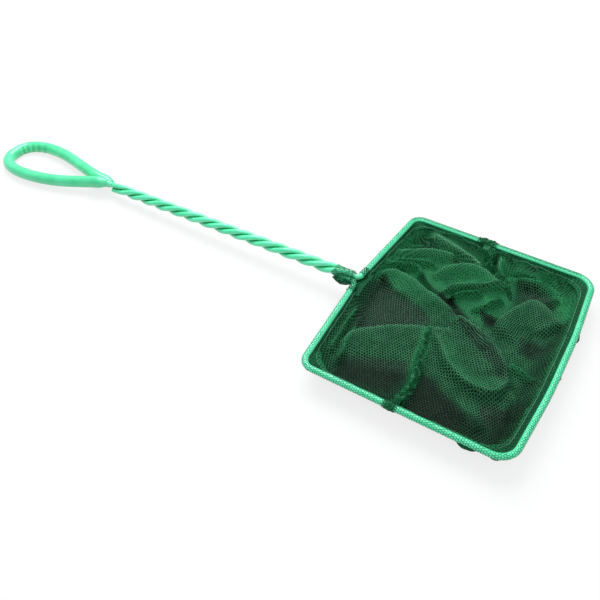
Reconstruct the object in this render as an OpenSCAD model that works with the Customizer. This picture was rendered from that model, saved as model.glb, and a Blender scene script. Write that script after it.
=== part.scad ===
// Aquarium fish net: one coated wire, bent into a hoop and a hang loop and twisted
// into a three-strand handle, with a fine net bag sewn round the hoop.
// The net lies as it does on a table: the bag collapsed in folds, the hoop on top of it.

/* [Hoop] */
// Width of the hoop across the handle, between the wire's centres
hoop_w = 146; // [110:1:200]
// Length of the hoop along the handle, from the near corners to the far corners
hoop_l = 117; // [90:1:160]
// How far the neck stands out from the line of the near corners
neck_out = 4.8; // [2:0.2:10]
// How far the far side bows outwards at its middle
far_bow = 3.1; // [1:0.1:8]
// Corner radius on the handle side, at the wire's centre
near_corner_r = 7; // [5:0.5:14]
// Corner radius on the far side, at the wire's centre
far_corner_r = 11; // [8:0.5:20]
// Radius of the two bends that turn the hoop's ends into the handle
neck_bend_r = 4; // [3.5:0.1:6]
// Height of the hoop wire's centre above the table
hoop_lift = 13.5; // [11:0.5:24]

/* [Wire] */
// Diameter of the wire over its plastic coat
wire_d = 3.5; // [2.8:0.1:4.2]
// Diameter of the steel core
core_d = 2.2; // [1.4:0.1:2.6]

/* [Handle] */
// Length of the three-strand twist
twist_l = 191; // [120:1:260]
// Thirds of a turn that the strands make along the twist
twist_thirds = 14; // [8:1:20]
// Length over which the twist eases in and out at each end
ease_l = 12; // [6:1:20]

/* [Hang loop] */
// Length of the loop, from the end of the twist to the wire's centre at its tip
loop_l = 97; // [80:1:130]
// Width of the loop, between the wire's centres
loop_w = 35.4; // [30:0.2:46]
// Where the two legs part, measured from the end of the twist
crotch_l = 12; // [8:1:18]
// Sideways lean of the loop off the handle's line
loop_lean = -2.8; // [-5:0.2:5]
// Roll of the legs where they leave the twist, in degrees
legs_roll = 45; // [0:5:60]

/* [Grip sleeve] */
// Outer diameter of the soft sleeve on the loop
sleeve_d = 8.2; // [6:0.2:9]
// How far the sleeve's ends stand back from the end of the twist
sleeve_back = 5; // [4:0.5:9]
// Number of wrinkles inside the sleeve's tight bend
sleeve_wrinkles = 4; // [2:1:6]
// Depth of a wrinkle
wrinkle_depth = 0.5; // [0.2:0.1:0.8]

/* [Hem] */
// Thickness of the folded net round the wire
hem_t = 0.5; // [0.3:0.1:0.9]
// Width of the hem's flat flange inside the hoop, from the wire's centre
flange_w = 7.6; // [6:0.2:10]
// Thickness of the doubled flange
flange_t = 0.9; // [0.6:0.1:1.4]
// Diameter of the hem's stitching thread
thread_d = 0.6; // [0.4:0.1:0.9]

/* [Bag] */
// Where the two side seams meet the hoop, from the near corners
seam_x = 50; // [40:1:60]
// Thickness of the folded net as it lies
net_t = 1.2; // [1:0.1:1.6]
// Depth to which the resting net is cut flat on the table
rest_cut = 0.5; // [0.4:0.1:0.6]
// Width over which the net drops from the hem to the table
drop_w = 12; // [8:1:20]
// Diameter of the bound side seams
seam_d = 2.2; // [1.6:0.2:3]

/* [Neck] */
// Length of the net tongue wrapped round the start of the twist
tongue_l = 12; // [8:1:18]
// Thickness of the wrapped tongue at its ends
tongue_t = 1.3; // [1:0.1:1.6]
// Thickness of the tongue's two arms over the bends of the wire
arm_t = 0.8; // [0.5:0.1:0.9]
// Half the length of the neck that the hem leaves to the tongue
neck_half = 9; // [7:0.5:14]

/* [Hidden] */
$fn = 48;

// Colours, as the photograph shows them
mint = [0.38, 0.9, 0.66];
mint_sleeve = [0.4, 0.86, 0.64];
steel = [0.66, 0.68, 0.7];
net_green = [0.06, 0.36, 0.2];
seam_green = [0.04, 0.29, 0.15];
thread_green = [0.3, 0.55, 0.38];

// Running clearances between pieces that are slid or wrapped over each other
core_gap = 0.06;
strand_gap = 0.1;
wrap_gap = 0.12;
lay_gap = 0.25;
thread_gap = 0.05;
// Overrun that carries a cutting solid past a face
over = 1;
// A straight shorter than this is none: the bend starts at once
least_run = 0.001;
// A round bar or tube is a hair thicker in its bends, and a straight laps into them
bend_swell = 0.01;
bend_lap = 0.1;

// Half sizes and radii of the wire
wire_r = wire_d / 2;
core_r = core_d / 2;
sleeve_r = sleeve_d / 2;
hoop_half = hoop_w / 2;
// Half the distance between two strands that lie side by side
pair_half = (wire_d + strand_gap) / 2;
// Radius of the ring on which the three strands' centres lie
ring_r = (wire_d + strand_gap) / sqrt(3);
// Corners of the hoop's path, from the neck round one side
neck_corner = [-neck_out * (1 - pair_half / hoop_half), pair_half];
near_corner = [0, hoop_half];
far_corner = [hoop_l, hoop_half];
// The bow bends at two places, given as a share of the half width, with a wide radius
bow_y_share = 1 / 3;
bow_r_share = 2;
bow_place = [hoop_l + far_bow, hoop_half * bow_y_share];
// Turn of the wire at the neck, and where its bend begins
neck_turn = atan2(near_corner[1] - neck_corner[1], near_corner[0] - neck_corner[0]);
twist_x = neck_corner[0] - neck_bend_r * tan(neck_turn / 2);
// Height of the handle's axis at the neck: two of its strands run level with the hoop
axis_lift = hoop_lift + ring_r / 2;
// The handle slopes down so that the loop's sleeve touches the table at its tip
slope = (axis_lift - sleeve_r) / (twist_l + loop_l - ease_l / 2);

// Angle of each strand at the neck, seen along the handle
left_start = 330;
right_start = 210;
tail_start = 90;
// Whole rotation of the strands, ending in the legs' own roll
lay_turn = 120 * twist_thirds + 60 - legs_roll;
// Rings of the swept wires: per turn of the twist, and round the loop
rings_per_turn = 10;
twist_rings = ceil(lay_turn / 360 * rings_per_turn);
loop_rings = 40;
sleeve_rings = 48;
coat_sides = 8;
core_sides = 8;
sleeve_sides = 12;

// Loop outline: how blunt its tip is, and where along its length a leg stands
tip_blunt_share = 0.8;
// Share of the teardrop formula at its widest place, which scales it to loop_w
teardrop_peak_share = 0.4327;
// How sharply the legs leave their closed run, as the power of a blend
leg_blend_power = 4;
// Over how many crotch lengths the legs' roll dies out and the loop finds its own line
roll_out_share = 2;
settle_share = 4;

// Steps of a rounded inside corner of the flange
corner_steps = 5;
// The thread runs this many of its own widths inside the flange's edge
thread_edge_share = 3;

// Bag: rim of the panels, and the heights between which they lie. The rim laps under
// the flange by this many thicknesses of the net.
rim_lap_share = 1.6;
rim_inset = flange_w - rim_lap_share * net_t;
rim_y = hoop_half - rim_inset;
rim_corner_r = near_corner_r;
flange_z = hoop_lift - flange_t;
net_top = flange_z - flange_t / 2 - lay_gap - net_t / 2;
net_floor = net_t / 2 - rest_cut;
panel_columns = 24;
panel_rows = 14;
// The left seam runs in towards the far side: how far, where and over what width,
// as shares of the hoop's length, half width and half width
seam_drift_share = 0.26;
seam_drift_y_share = 0.58;
seam_drift_w_share = 0.26;
// How far in from the rim each visible seam runs, as shares of the rim's half width
left_seam_end_share = 0.48;
right_seam_end_share = 0.12;
seam_rings = 18;
seam_sides = 6;
// Half the length of the gathered cover where a seam meets the hoop
seam_half = 7;

// Main folds of the collapsed bag. Each row holds the fold's two ends (x and y), its
// height and its width: x as a share of the hoop's length, y of its half width,
// height of the room under the hem, width of the hoop's length.
fold_shares = [
    [0.02, 0.30, 0.24, 0.34, 0.55, 0.07],
    [0.24, 0.34, 0.47, 0.15, 0.80, 0.07],
    [0.09, -0.52, 0.30, -0.20, 0.40, 0.06],
    [0.30, -0.20, 0.50, 0.00, 0.55, 0.06],
    [0.50, 0.00, 0.66, -0.24, 0.78, 0.10],
    [0.66, -0.24, 0.84, -0.40, 0.82, 0.08],
    [0.40, 0.36, 0.64, 0.56, 0.75, 0.06],
    [0.66, 0.20, 0.74, 0.44, 0.62, 0.06],
    [0.74, 0.44, 0.90, 0.50, 0.66, 0.06],
    [0.43, -0.88, 0.46, -0.30, 0.38, 0.06],
    [0.20, 0.74, 0.44, 0.62, 0.45, 0.07],
    [0.90, -0.10, 0.94, 0.24, 0.42, 0.07]
];

// Plain helpers

// Steps smoothly from 0 to 1 as v goes from 0 to 1, and holds outside
function smooth(v) =
    let (c = min(max(v, 0), 1))
    c * c * (3 - 2 * c);

function mix(a, b, v) = a + (b - a) * v;

function unit(v) = v / norm(v);

// Length run at full rate when the rate eases in over ease_l
function eased_in(s) = s < ease_l ? s * s / (2 * ease_l) : s - ease_l / 2;

// The same, easing out again at the end of the twist
function eased_both(s) =
    s < twist_l - ease_l
        ? eased_in(s)
        : twist_l - ease_l - (twist_l - s) * (twist_l - s) / (2 * ease_l);

// Sweeps: every path is a list of [point, outer radius, inner radius]

// Direction of a path at ring i
function heading(path, i) =
    unit(path[min(i + 1, len(path) - 1)][0] - path[max(i - 1, 0)][0]);

// One ring of points round a path, square to a given heading
function ring(centre, along, radius, sides, shape = 0, phase = 0) =
    let (side = unit(cross([0, 0, 1], along)))
    let (up = cross(along, side))
    [for (k = [0:sides - 1])
        let (a = 360 * k / sides + phase)
        let (r = radius - shape * max(cos(a), 0))
        centre + r * cos(a) * side + r * sin(a) * up];

// Faces of the skin between two runs of rings that start at the given points
function skin(first, rings, sides, outward) =
    [for (i = [0:rings - 2])
        for (k = [0:sides - 1])
            let (a = first + i * sides + k)
            let (b = first + i * sides + (k + 1) % sides)
            for (tri = outward
                ? [[a, b, b + sides], [a, b + sides, a + sides]]
                : [[a, b + sides, b], [a, a + sides, b + sides]])
                tri];

// Faces of the flat ring that joins an outer and an inner ring at an end
function end_band(outer, inner, sides, front) =
    [for (k = [0:sides - 1])
        let (n = (k + 1) % sides)
        for (tri = front
            ? [[outer + k, inner + k, inner + n], [outer + k, inner + n, outer + n]]
            : [[outer + k, inner + n, inner + k], [outer + k, outer + n, inner + n]])
            tri];

// Faces of a flat end of a solid rod
function end_cap(first, sides, front) =
    [for (k = [1:sides - 2])
        front ? [first, first + k + 1, first + k] : [first, first + k, first + k + 1]];

// A solid rod swept along a path, with its end faces square to the given directions
module swept_rod(path, sides, start_dir, end_dir) {
    n = len(path);
    points = [for (i = [0:n - 1])
        let (along = i == 0 ? start_dir : i == n - 1 ? end_dir : heading(path, i))
        for (p = ring(path[i][0], along, path[i][1], sides)) p];
    polyhedron(points, concat(
        skin(0, n, sides, false),
        end_cap(0, sides, false),
        end_cap((n - 1) * sides, sides, true)));
}

// A tube swept along a path. The fourth value of a path's entry draws the wall in on
// the inside of a bend, as a wrinkle.
module swept_tube(path, sides, start_dir, end_dir) {
    n = len(path);
    headings = [for (i = [0:n - 1])
        i == 0 ? start_dir : i == n - 1 ? end_dir : heading(path, i)];
    outer = [for (i = [0:n - 1])
        for (p = ring(path[i][0], headings[i], path[i][1], sides, path[i][3])) p];
    inner = [for (i = [0:n - 1])
        for (p = ring(path[i][0], headings[i], path[i][2], sides)) p];
    first_inner = n * sides;
    last = (n - 1) * sides;
    polyhedron(concat(outer, inner), concat(
        skin(0, n, sides, false),
        skin(first_inner, n, sides, true),
        end_band(0, first_inner, sides, false),
        end_band(last, first_inner + last, sides, true)));
}

// Handle: three strands that wind round one gently sloping axis

// Height of the handle's axis at s, measured from the neck towards the loop
function axis_z(s) = axis_lift - slope * eased_in(s);

// Centre of a strand at s. The lay is left-handed seen along the handle.
function strand_point(s, start) =
    let (a = start + lay_turn * eased_both(s) / (twist_l - ease_l))
    [twist_x - s, ring_r * cos(a), axis_z(s) + ring_r * sin(a)];

function strand_path(start, outer_r, inner_r) =
    [for (i = [0:twist_rings])
        [strand_point(twist_l * i / twist_rings, start), outer_r, inner_r, 0]];

// Headings at the two ends of the twist
neck_dir = [-1, 0, 0];
loop_dir = unit([-1, 0, -slope]);

module strand_coat(start) {
    swept_tube(strand_path(start, wire_r, core_r + core_gap), coat_sides, neck_dir, loop_dir);
}

module strand_core(start) {
    swept_rod(strand_path(start, core_r, 0), core_sides, neck_dir, loop_dir);
}

// Hang loop: a teardrop whose legs close up and roll into the twist

// Half the distance between the legs' centres while they run closed, at s
function closed_half(s) = mix(pair_half, sleeve_r + strand_gap, smooth(s / crotch_l));

// Half the distance of the open teardrop at s
function open_half(s) =
    loop_w / 2 / teardrop_peak_share * max(s - crotch_l, 0) / (loop_l - crotch_l);

function leg_half(s) =
    pow(pow(closed_half(s), leg_blend_power) + pow(open_half(s), leg_blend_power),
        1 / leg_blend_power);

// Centre of the loop's wire at angle t: 0 and 360 are the ends of the legs, 180 the tip
function loop_point(t) =
    let (s = loop_l * pow(sin(t / 2), 2))
    let (c = cos(t / 2))
    let (half = leg_half(s) * sign(c) * pow(abs(c), tip_blunt_share))
    let (roll = -legs_roll * (1 - smooth(s / (roll_out_share * crotch_l))))
    let (settle = smooth(s / (settle_share * crotch_l)))
    let (mid = mix(ring_r / 2 * [-sin(roll), cos(roll)], [loop_lean, 0], settle))
    [twist_x - twist_l - s,
        mid[0] + half * cos(roll),
        axis_z(twist_l + s) + mid[1] + half * sin(roll)];

function loop_path(outer_r, inner_r) =
    [for (i = [0:loop_rings]) [loop_point(360 * i / loop_rings), outer_r, inner_r, 0]];

// Angle t at which a leg reaches the length s
function leg_angle(s) = 2 * asin(sqrt(s / loop_l));

// The sleeve's ends are pinched where the legs close up
function sleeve_radius(t) =
    let (s = loop_l * pow(sin(t / 2), 2))
    min(sleeve_r, closed_half(s) - strand_gap / 2);

// Wrinkles lie inside the tight bend at the loop's upper shoulder
wrinkle_from = 128;
wrinkle_to = 176;

function wrinkle(t) =
    t > wrinkle_from && t < wrinkle_to
        ? wrinkle_depth * pow(sin(180 * sleeve_wrinkles * (t - wrinkle_from)
            / (wrinkle_to - wrinkle_from)), 2)
        : 0;

function sleeve_angles() =
    let (from = leg_angle(sleeve_back))
    let (step = (360 - 2 * from) / sleeve_rings)
    [for (i = [0:sleeve_rings]) from + step * i];

module sleeve_solid() {
    path = [for (t = sleeve_angles())
        [loop_point(t), sleeve_radius(t), wire_r + wrap_gap, wrinkle(t)]];
    swept_tube(path, sleeve_sides, heading(path, 0), heading(path, len(path) - 1));
}

// Hoop: straights and round bends along a list of corners, level at the hoop's height.
// Each corner is [point, bend radius], and the two ends have a radius of 0.

// Turn of the path at corner i, positive to the left
function turn_at(corners, i) =
    let (a = corners[i][0] - corners[i - 1][0])
    let (b = corners[i + 1][0] - corners[i][0])
    atan2(a[0] * b[1] - a[1] * b[0], a[0] * b[0] + a[1] * b[1]);

// Length that the bend at corner i takes from each straight beside it
function bend_take(corners, i) =
    i == 0 || i == len(corners) - 1
        ? 0
        : corners[i][1] * tan(abs(turn_at(corners, i)) / 2);

// A round section, hollow if it has a bore
module round_section(r, bore) {
    difference() {
        circle(r = r);
        if (bore > 0)
            circle(r = bore);
    }
}

// A round bar or tube of the given radius along the corners
module round_run(corners, r, bore = 0) {
    last = len(corners) - 1;
    for (i = [0:last - 1]) {
        a = corners[i][0];
        b = corners[i + 1][0];
        along = unit(b - a);
        lap_a = i == 0 ? 0 : bend_lap;
        lap_b = i == last - 1 ? 0 : bend_lap;
        start = a + along * (bend_take(corners, i) - lap_a);
        length = norm(b - start) - bend_take(corners, i + 1) + lap_b;
        if (length > lap_a + lap_b + least_run)
            translate([start[0], start[1], 0])
                rotate([0, 90, atan2(along[1], along[0])])
                    linear_extrude(length)
                        round_section(r, bore);
    }
    for (i = [1:last - 1]) {
        turn = turn_at(corners, i);
        a = unit(corners[i][0] - corners[i - 1][0]);
        b = unit(corners[i + 1][0] - corners[i][0]);
        centre = corners[i][0] + unit(b - a) * corners[i][1] / cos(turn / 2);
        from = turn > 0 ? [a[1], -a[0]] : [-b[1], b[0]];
        translate([centre[0], centre[1], 0])
            rotate([0, 0, atan2(from[1], from[0])])
                rotate_extrude(angle = abs(turn))
                    translate([corners[i][1], 0])
                        round_section(r + bend_swell, bore - bend_swell);
    }
}

function mirrored(p) = [p[0], -p[1]];

// The whole wire of the hoop, from one end of the twist to the other
hoop_corners = [
    [[twist_x, pair_half], 0],
    [neck_corner, neck_bend_r],
    [near_corner, near_corner_r],
    [far_corner, far_corner_r],
    [bow_place, bow_r_share * hoop_w],
    [mirrored(bow_place), bow_r_share * hoop_w],
    [mirrored(far_corner), far_corner_r],
    [mirrored(near_corner), near_corner_r],
    [mirrored(neck_corner), neck_bend_r],
    [[twist_x, -pair_half], 0]
];

// A place on the neck's leg at a given distance from the middle
function leg_place(y) = [-neck_out * (1 - y / hoop_half), y];

// The hem's run on the handle side, on one side of the neck, and on the far side
hem_near_corners = [
    [leg_place(neck_half), 0],
    [near_corner, near_corner_r],
    [[seam_x - seam_half, hoop_half], 0]
];
hem_far_corners = [
    [[seam_x + seam_half, hoop_half], 0],
    [far_corner, far_corner_r],
    [bow_place, bow_r_share * hoop_w],
    [mirrored(bow_place), bow_r_share * hoop_w],
    [mirrored(far_corner), far_corner_r],
    [[seam_x + seam_half, -hoop_half], 0]
];

// Points of the hoop's inside at a given inset, with rounded corners of a given radius
function arc_points(centre, r, from, to, steps) =
    [for (k = [0:steps])
        let (a = mix(from, to, k / steps))
        centre + r * [cos(a), sin(a)]];

function inside_outline(inset, near_r, far_r) =
    let (near_x = inset)
    let (far_x = hoop_l - inset)
    let (y = hoop_half - inset)
    concat(
        [[near_x - neck_out, 0]],
        arc_points([near_x + near_r, near_r - y], near_r, 180, 270, corner_steps),
        arc_points([far_x - far_r, far_r - y], far_r, 270, 360, corner_steps),
        [[far_x + far_bow, -bow_place[1]], [far_x + far_bow, bow_place[1]]],
        arc_points([far_x - far_r, y - far_r], far_r, 0, 90, corner_steps),
        arc_points([near_x + near_r, y - near_r], near_r, 90, 180, corner_steps));

// The flange starts inside the wall of the hem's tube
flange_root = wire_r + wrap_gap + hem_t / 2;

// The flat doubled flange of the hem, all round the inside of the hoop
module flange_ring() {
    translate([0, 0, flange_z - flange_t / 2])
        linear_extrude(flange_t)
            difference() {
                polygon(inside_outline(
                    flange_root, near_corner_r - flange_root, far_corner_r - flange_root));
                polygon(inside_outline(flange_w, near_corner_r, far_corner_r));
            }
}

// The stitching thread's run on the flange
thread_inset = flange_w - thread_edge_share * thread_d;

function thread_place(y) = [thread_inset - neck_out * (1 - y / hoop_half), y];

thread_near_corners = [
    [thread_place(neck_half), 0],
    [[thread_inset, hoop_half - thread_inset], near_corner_r],
    [[seam_x - seam_half, hoop_half - thread_inset], 0]
];
thread_far_corners = [
    [[seam_x + seam_half, hoop_half - thread_inset], 0],
    [[hoop_l - thread_inset, hoop_half - thread_inset], far_corner_r],
    [bow_place - [thread_inset, 0], bow_r_share * hoop_w],
    [mirrored(bow_place) - [thread_inset, 0], bow_r_share * hoop_w],
    [[hoop_l - thread_inset, thread_inset - hoop_half], far_corner_r],
    [[seam_x + seam_half, thread_inset - hoop_half], 0]
];
thread_z = flange_z + flange_t / 2 + thread_gap + thread_d / 2;

// Bag: two panels of net that share the seam line and one field of folds

// The seam line across the bag, which drifts towards the far side on the left
function seam_line(y) =
    let (d = (y / hoop_half - seam_drift_y_share) / seam_drift_w_share)
    seam_x + seam_drift_share * hoop_l * exp(-d * d);

// How far the far side stands out at y
function bow_at(y) = far_bow * min(1, (1 - abs(y) / hoop_half) / (1 - bow_y_share));

// How far a rounded corner draws the rim in at y
function corner_in(y, r) =
    let (past = max(abs(y) - (rim_y - r), 0))
    r - sqrt(max(r * r - past * past, 0));

function near_rim(y) =
    rim_inset - neck_out * (1 - abs(y) / hoop_half) + corner_in(y, rim_corner_r);

function far_rim(y) =
    hoop_l - rim_inset + bow_at(y) - corner_in(y, far_corner_r);

// Distance of a place from a fold's line
function fold_distance(p, a, b) =
    let (along = b - a)
    let (v = min(max((p - a) * along / (along * along), 0), 1))
    norm(p - a - along * v);

// Room that one fold leaves at a place: 1 away from it, less on it
function fold_room(p, fold) =
    let (a = [fold[0] * hoop_l, fold[1] * hoop_half])
    let (b = [fold[2] * hoop_l, fold[3] * hoop_half])
    let (d = fold_distance(p, a, b) / (fold[5] * hoop_l))
    1 - fold[4] * exp(-d * d);

// Product of a list, from item i on
function product(list, i = 0) = i == len(list) ? 1 : list[i] * product(list, i + 1);

// Room that the wall of net below the hem leaves at a place
function wall_room(p) =
    let (y = p[1])
    let (d = min(p[0] - near_rim(y), far_rim(y) - p[0], rim_y - abs(y)))
    1 - pow(1 - min(max(d / drop_w, 0), 1), 2);

// Height of the net's middle surface
function net_height(p) =
    let (room = wall_room(p) * product([for (f = fold_shares) fold_room(p, f)]))
    mix(net_top, net_floor, room);

// Column j of a panel stands at this y: columns crowd towards the sides
function column_y(j) = rim_y * sin(90 * (2 * j / panel_columns - 1));

// Place of row i in column j. Rows crowd towards the rim, where row 0 lies.
function panel_place(i, j, far) =
    let (y = column_y(j))
    let (rim = far ? far_rim(y) : near_rim(y))
    [mix(seam_line(y), rim, sin(90 * (1 - i / panel_rows))), y];

function grid_faces(columns, rows, first, flip) =
    [for (j = [0:columns - 1])
        for (i = [0:rows - 1])
            let (a = first + j * (rows + 1) + i)
            let (b = a + rows + 1)
            for (tri = flip
                ? [[a, b + 1, a + 1], [a, b, b + 1]]
                : [[a, a + 1, b + 1], [a, b + 1, b]])
                tri];

// A closed solid of net between its upper face and its lower face, cut flat at the table
module panel(far) {
    upper = [for (j = [0:panel_columns])
        for (i = [0:panel_rows])
            let (p = panel_place(i, j, far))
            [p[0], p[1], net_height(p) + net_t / 2]];
    lower = [for (p = upper) [p[0], p[1], max(p[2] - net_t, 0)]];
    count = len(upper);
    rows = panel_rows + 1;
    last = panel_columns * rows;
    edge_a = [for (i = [0:panel_rows - 1]) [i, i + 1]];
    edge_b = [for (i = [0:panel_rows - 1]) [last + i + 1, last + i]];
    edge_c = [for (j = [0:panel_columns - 1]) [(j + 1) * rows, j * rows]];
    edge_d = [for (j = [0:panel_columns - 1]) [j * rows + panel_rows, (j + 1) * rows + panel_rows]];
    walls = [for (e = concat(edge_a, edge_b, edge_c, edge_d))
        for (tri = far
            ? [[e[0], e[1] + count, e[1]], [e[0], e[0] + count, e[1] + count]]
            : [[e[0], e[1], e[1] + count], [e[0], e[1] + count, e[0] + count]])
            tri];
    polyhedron(concat(upper, lower), concat(
        grid_faces(panel_columns, panel_rows, 0, !far),
        grid_faces(panel_columns, panel_rows, count, far),
        walls));
}

// Side seam: a gathered cover on the hoop's wire, and the bound seam that runs from it
// down into the bag
seam_r = seam_d / 2;

function seam_point(v, side, end_share) =
    let (y = side * mix(rim_y - seam_r, rim_y * end_share, v))
    let (p = [seam_line(y), y])
    [p[0], p[1], net_height(p) + net_t / 2 + lay_gap + seam_r];

// The seam starts in the cover's wall, clear of the wire
function seam_start(side) =
    let (y = side * (hoop_half - wire_r - wrap_gap - seam_r))
    [seam_line(y), y, hoop_lift];

function seam_path(side, end_share) =
    concat(
        [[seam_start(side), seam_r, 0, 0]],
        [for (i = [0:seam_rings]) [seam_point(i / seam_rings, side, end_share), seam_r, 0, 0]]);

// Profile of the gathered cover: the net bunches into soft rolls, this many and this high
gathers = 3;
gather_t = 0.9;
steps_per_gather = 8;

function cover_profile() =
    let (inner = wire_r + wrap_gap)
    let (steps = steps_per_gather * gathers)
    concat(
        [[inner, 0], [inner + hem_t, 0]],
        [for (k = [1:steps - 1])
            [inner + hem_t + gather_t * pow(sin(180 * gathers * k / steps), 2),
                2 * (seam_half - lay_gap) * k / steps]],
        [[inner + hem_t, 2 * (seam_half - lay_gap)], [inner, 2 * (seam_half - lay_gap)]]);

module side_seam(side, end_share) {
    path = seam_path(side, end_share);
    translate([seam_x - seam_half + lay_gap, side * hoop_half, hoop_lift])
        rotate([0, 90, 0])
            rotate_extrude()
                polygon(cover_profile());
    swept_rod(path, seam_sides, heading(path, 0), heading(path, len(path) - 1));
}

// Neck: the tongue's wrap on the twist, and its two arms over the bends of the wire
tongue_bore = ring_r + wire_r + wrap_gap;
tongue_corners = [
    [[twist_x, pair_half], 0],
    [neck_corner, neck_bend_r],
    [leg_place(neck_half - lay_gap), 0]
];
// The wrap swells a little at its middle, and laps a little way over the arms
tongue_swell = 0.4;
tongue_lap = 0.6;
tongue_steps = 6;

function tongue_profile() =
    concat(
        [[tongue_bore, -tongue_l]],
        [for (k = [0:tongue_steps])
            [tongue_bore + tongue_t + tongue_swell * sin(180 * k / tongue_steps),
                mix(-tongue_l, tongue_lap, k / tongue_steps)]],
        [[tongue_bore, tongue_lap]]);

module tongue_solid() {
    translate([twist_x, 0, axis_lift])
        rotate([0, 90, 0])
            rotate_extrude()
                polygon(tongue_profile());
    // Each arm keeps to its own side, so that its wall stays off the other arm's wire
    for (m = [0, 1])
        mirror([0, m, 0])
            intersection() {
                translate([0, 0, hoop_lift])
                    round_run(tongue_corners, wire_r + wrap_gap + arm_t, wire_r + wrap_gap);
                translate([twist_x - over, 0, 0])
                    cube([2 * neck_half, 2 * neck_half, 2 * hoop_lift]);
            }
}

// Places the whole net with its frame's origin below the middle of its box
tip_x = twist_x - twist_l - loop_l - sleeve_r;
far_x = hoop_l + far_bow + wire_r + wrap_gap + hem_t + bend_swell;
module placed() {
    translate([-(tip_x + far_x) / 2, 0, 0])
        children();
}

module at_hoop() {
    placed()
        translate([0, 0, hoop_lift])
            children();
}

module hoop_core() {
    color(steel)
        at_hoop()
            round_run(hoop_corners, core_r);
}

module hoop_coat() {
    color(mint)
        at_hoop()
            round_run(hoop_corners, wire_r, core_r + core_gap);
}

module left_strand_core() {
    color(steel) placed() strand_core(left_start);
}

module left_strand() {
    color(mint) placed() strand_coat(left_start);
}

module right_strand_core() {
    color(steel) placed() strand_core(right_start);
}

module right_strand() {
    color(mint) placed() strand_coat(right_start);
}

module tail_strand_core() {
    color(steel) placed() strand_core(tail_start);
}

module tail_strand() {
    color(mint) placed() strand_coat(tail_start);
}

module loop_core() {
    color(steel) placed() swept_rod(loop_path(core_r, 0), core_sides, loop_dir, -loop_dir);
}

module loop_coat() {
    color(mint)
        placed()
            swept_tube(loop_path(wire_r, core_r + core_gap), coat_sides, loop_dir, -loop_dir);
}

module loop_sleeve() {
    color(mint_sleeve) placed() sleeve_solid();
}

// The hem's tube round the wire, and its share of the flange
module hem(corners) {
    translate([0, 0, hoop_lift])
        round_run(corners, wire_r + wrap_gap + hem_t, wire_r + wrap_gap);
    intersection() {
        flange_ring();
        children();
    }
}

module hem_handle_side() {
    color(net_green)
        placed()
            for (m = [0, 1])
                mirror([0, m, 0])
                    hem(hem_near_corners)
                        translate([-hoop_l / 2, neck_half, 0])
                            cube([hoop_l / 2 + seam_x - seam_half, hoop_half, hoop_lift]);
}

module hem_far_side() {
    color(net_green)
        placed()
            hem(hem_far_corners)
                translate([seam_x + seam_half, -hoop_half, 0])
                    cube([hoop_l, hoop_w, hoop_lift]);
}

module hem_thread_handle_side() {
    color(thread_green)
        placed()
            translate([0, 0, thread_z])
                for (m = [0, 1])
                    mirror([0, m, 0])
                        round_run(thread_near_corners, thread_d / 2);
}

module hem_thread_far_side() {
    color(thread_green)
        placed()
            translate([0, 0, thread_z])
                round_run(thread_far_corners, thread_d / 2);
}

module net_handle_side() {
    color(net_green) placed() panel(false);
}

module net_far_side() {
    color(net_green) placed() panel(true);
}

module side_seam_left() {
    color(seam_green) placed() side_seam(1, left_seam_end_share);
}

module side_seam_right() {
    color(seam_green) placed() side_seam(-1, right_seam_end_share);
}

module neck_tongue() {
    color(seam_green) placed() tongue_solid();
}

hoop_core();
hoop_coat();
left_strand_core();
left_strand();
right_strand_core();
right_strand();
tail_strand_core();
tail_strand();
loop_core();
loop_coat();
loop_sleeve();
hem_handle_side();
hem_far_side();
hem_thread_handle_side();
hem_thread_far_side();
net_handle_side();
net_far_side();
side_seam_left();
side_seam_right();
neck_tongue();
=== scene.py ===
"""Looks of an aquarium fish net: a mint green wire frame with a twisted handle and a
dark green net bag that lies collapsed inside its hoop.

Lengths are in millimetres while a shape is worked out, and become metres in its mesh.
The net frame has its origin at the middle of the hoop's handle side, on the table:
x runs away from the handle, y to the left and z up.
"""

import logging
import math
from collections.abc import Callable
from dataclasses import dataclass, field
from enum import Enum

import bmesh
import bpy
import numpy as np
from mathutils import Euler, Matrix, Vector, noise

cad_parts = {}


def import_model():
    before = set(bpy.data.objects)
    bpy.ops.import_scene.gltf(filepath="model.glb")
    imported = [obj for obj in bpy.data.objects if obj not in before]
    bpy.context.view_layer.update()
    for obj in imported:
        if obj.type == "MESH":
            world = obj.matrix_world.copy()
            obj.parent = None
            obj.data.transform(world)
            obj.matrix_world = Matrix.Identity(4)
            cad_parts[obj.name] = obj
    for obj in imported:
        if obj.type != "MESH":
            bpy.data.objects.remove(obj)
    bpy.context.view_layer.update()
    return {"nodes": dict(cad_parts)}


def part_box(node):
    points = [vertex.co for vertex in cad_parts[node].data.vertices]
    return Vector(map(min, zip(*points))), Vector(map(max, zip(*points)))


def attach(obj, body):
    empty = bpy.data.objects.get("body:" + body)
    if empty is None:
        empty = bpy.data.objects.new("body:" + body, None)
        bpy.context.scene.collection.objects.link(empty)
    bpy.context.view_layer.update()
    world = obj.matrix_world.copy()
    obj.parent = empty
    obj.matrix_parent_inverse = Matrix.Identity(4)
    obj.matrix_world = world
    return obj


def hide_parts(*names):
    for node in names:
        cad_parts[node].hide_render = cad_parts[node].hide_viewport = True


log = logging.getLogger("fish_net")

MM = 0.001
TAU = 2.0 * math.pi
# Radius at which the UV map of a tube is unrolled
SKIN_R = 2.0

Place = Callable[[np.ndarray, np.ndarray], np.ndarray]
Colour = tuple[float, float, float, float]
Spot = tuple[float, float]

UP = np.array([0.0, 0.0, 1.0])
WHITE = (1.0, 1.0, 1.0, 1.0)


class Slot(Enum):
    """Material slots of the record, by kind of piece."""

    COAT = "wire_coat"
    SLEEVE = "sleeve"
    NET = "net"
    SEAM = "seam"
    THREAD = "thread"


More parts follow.
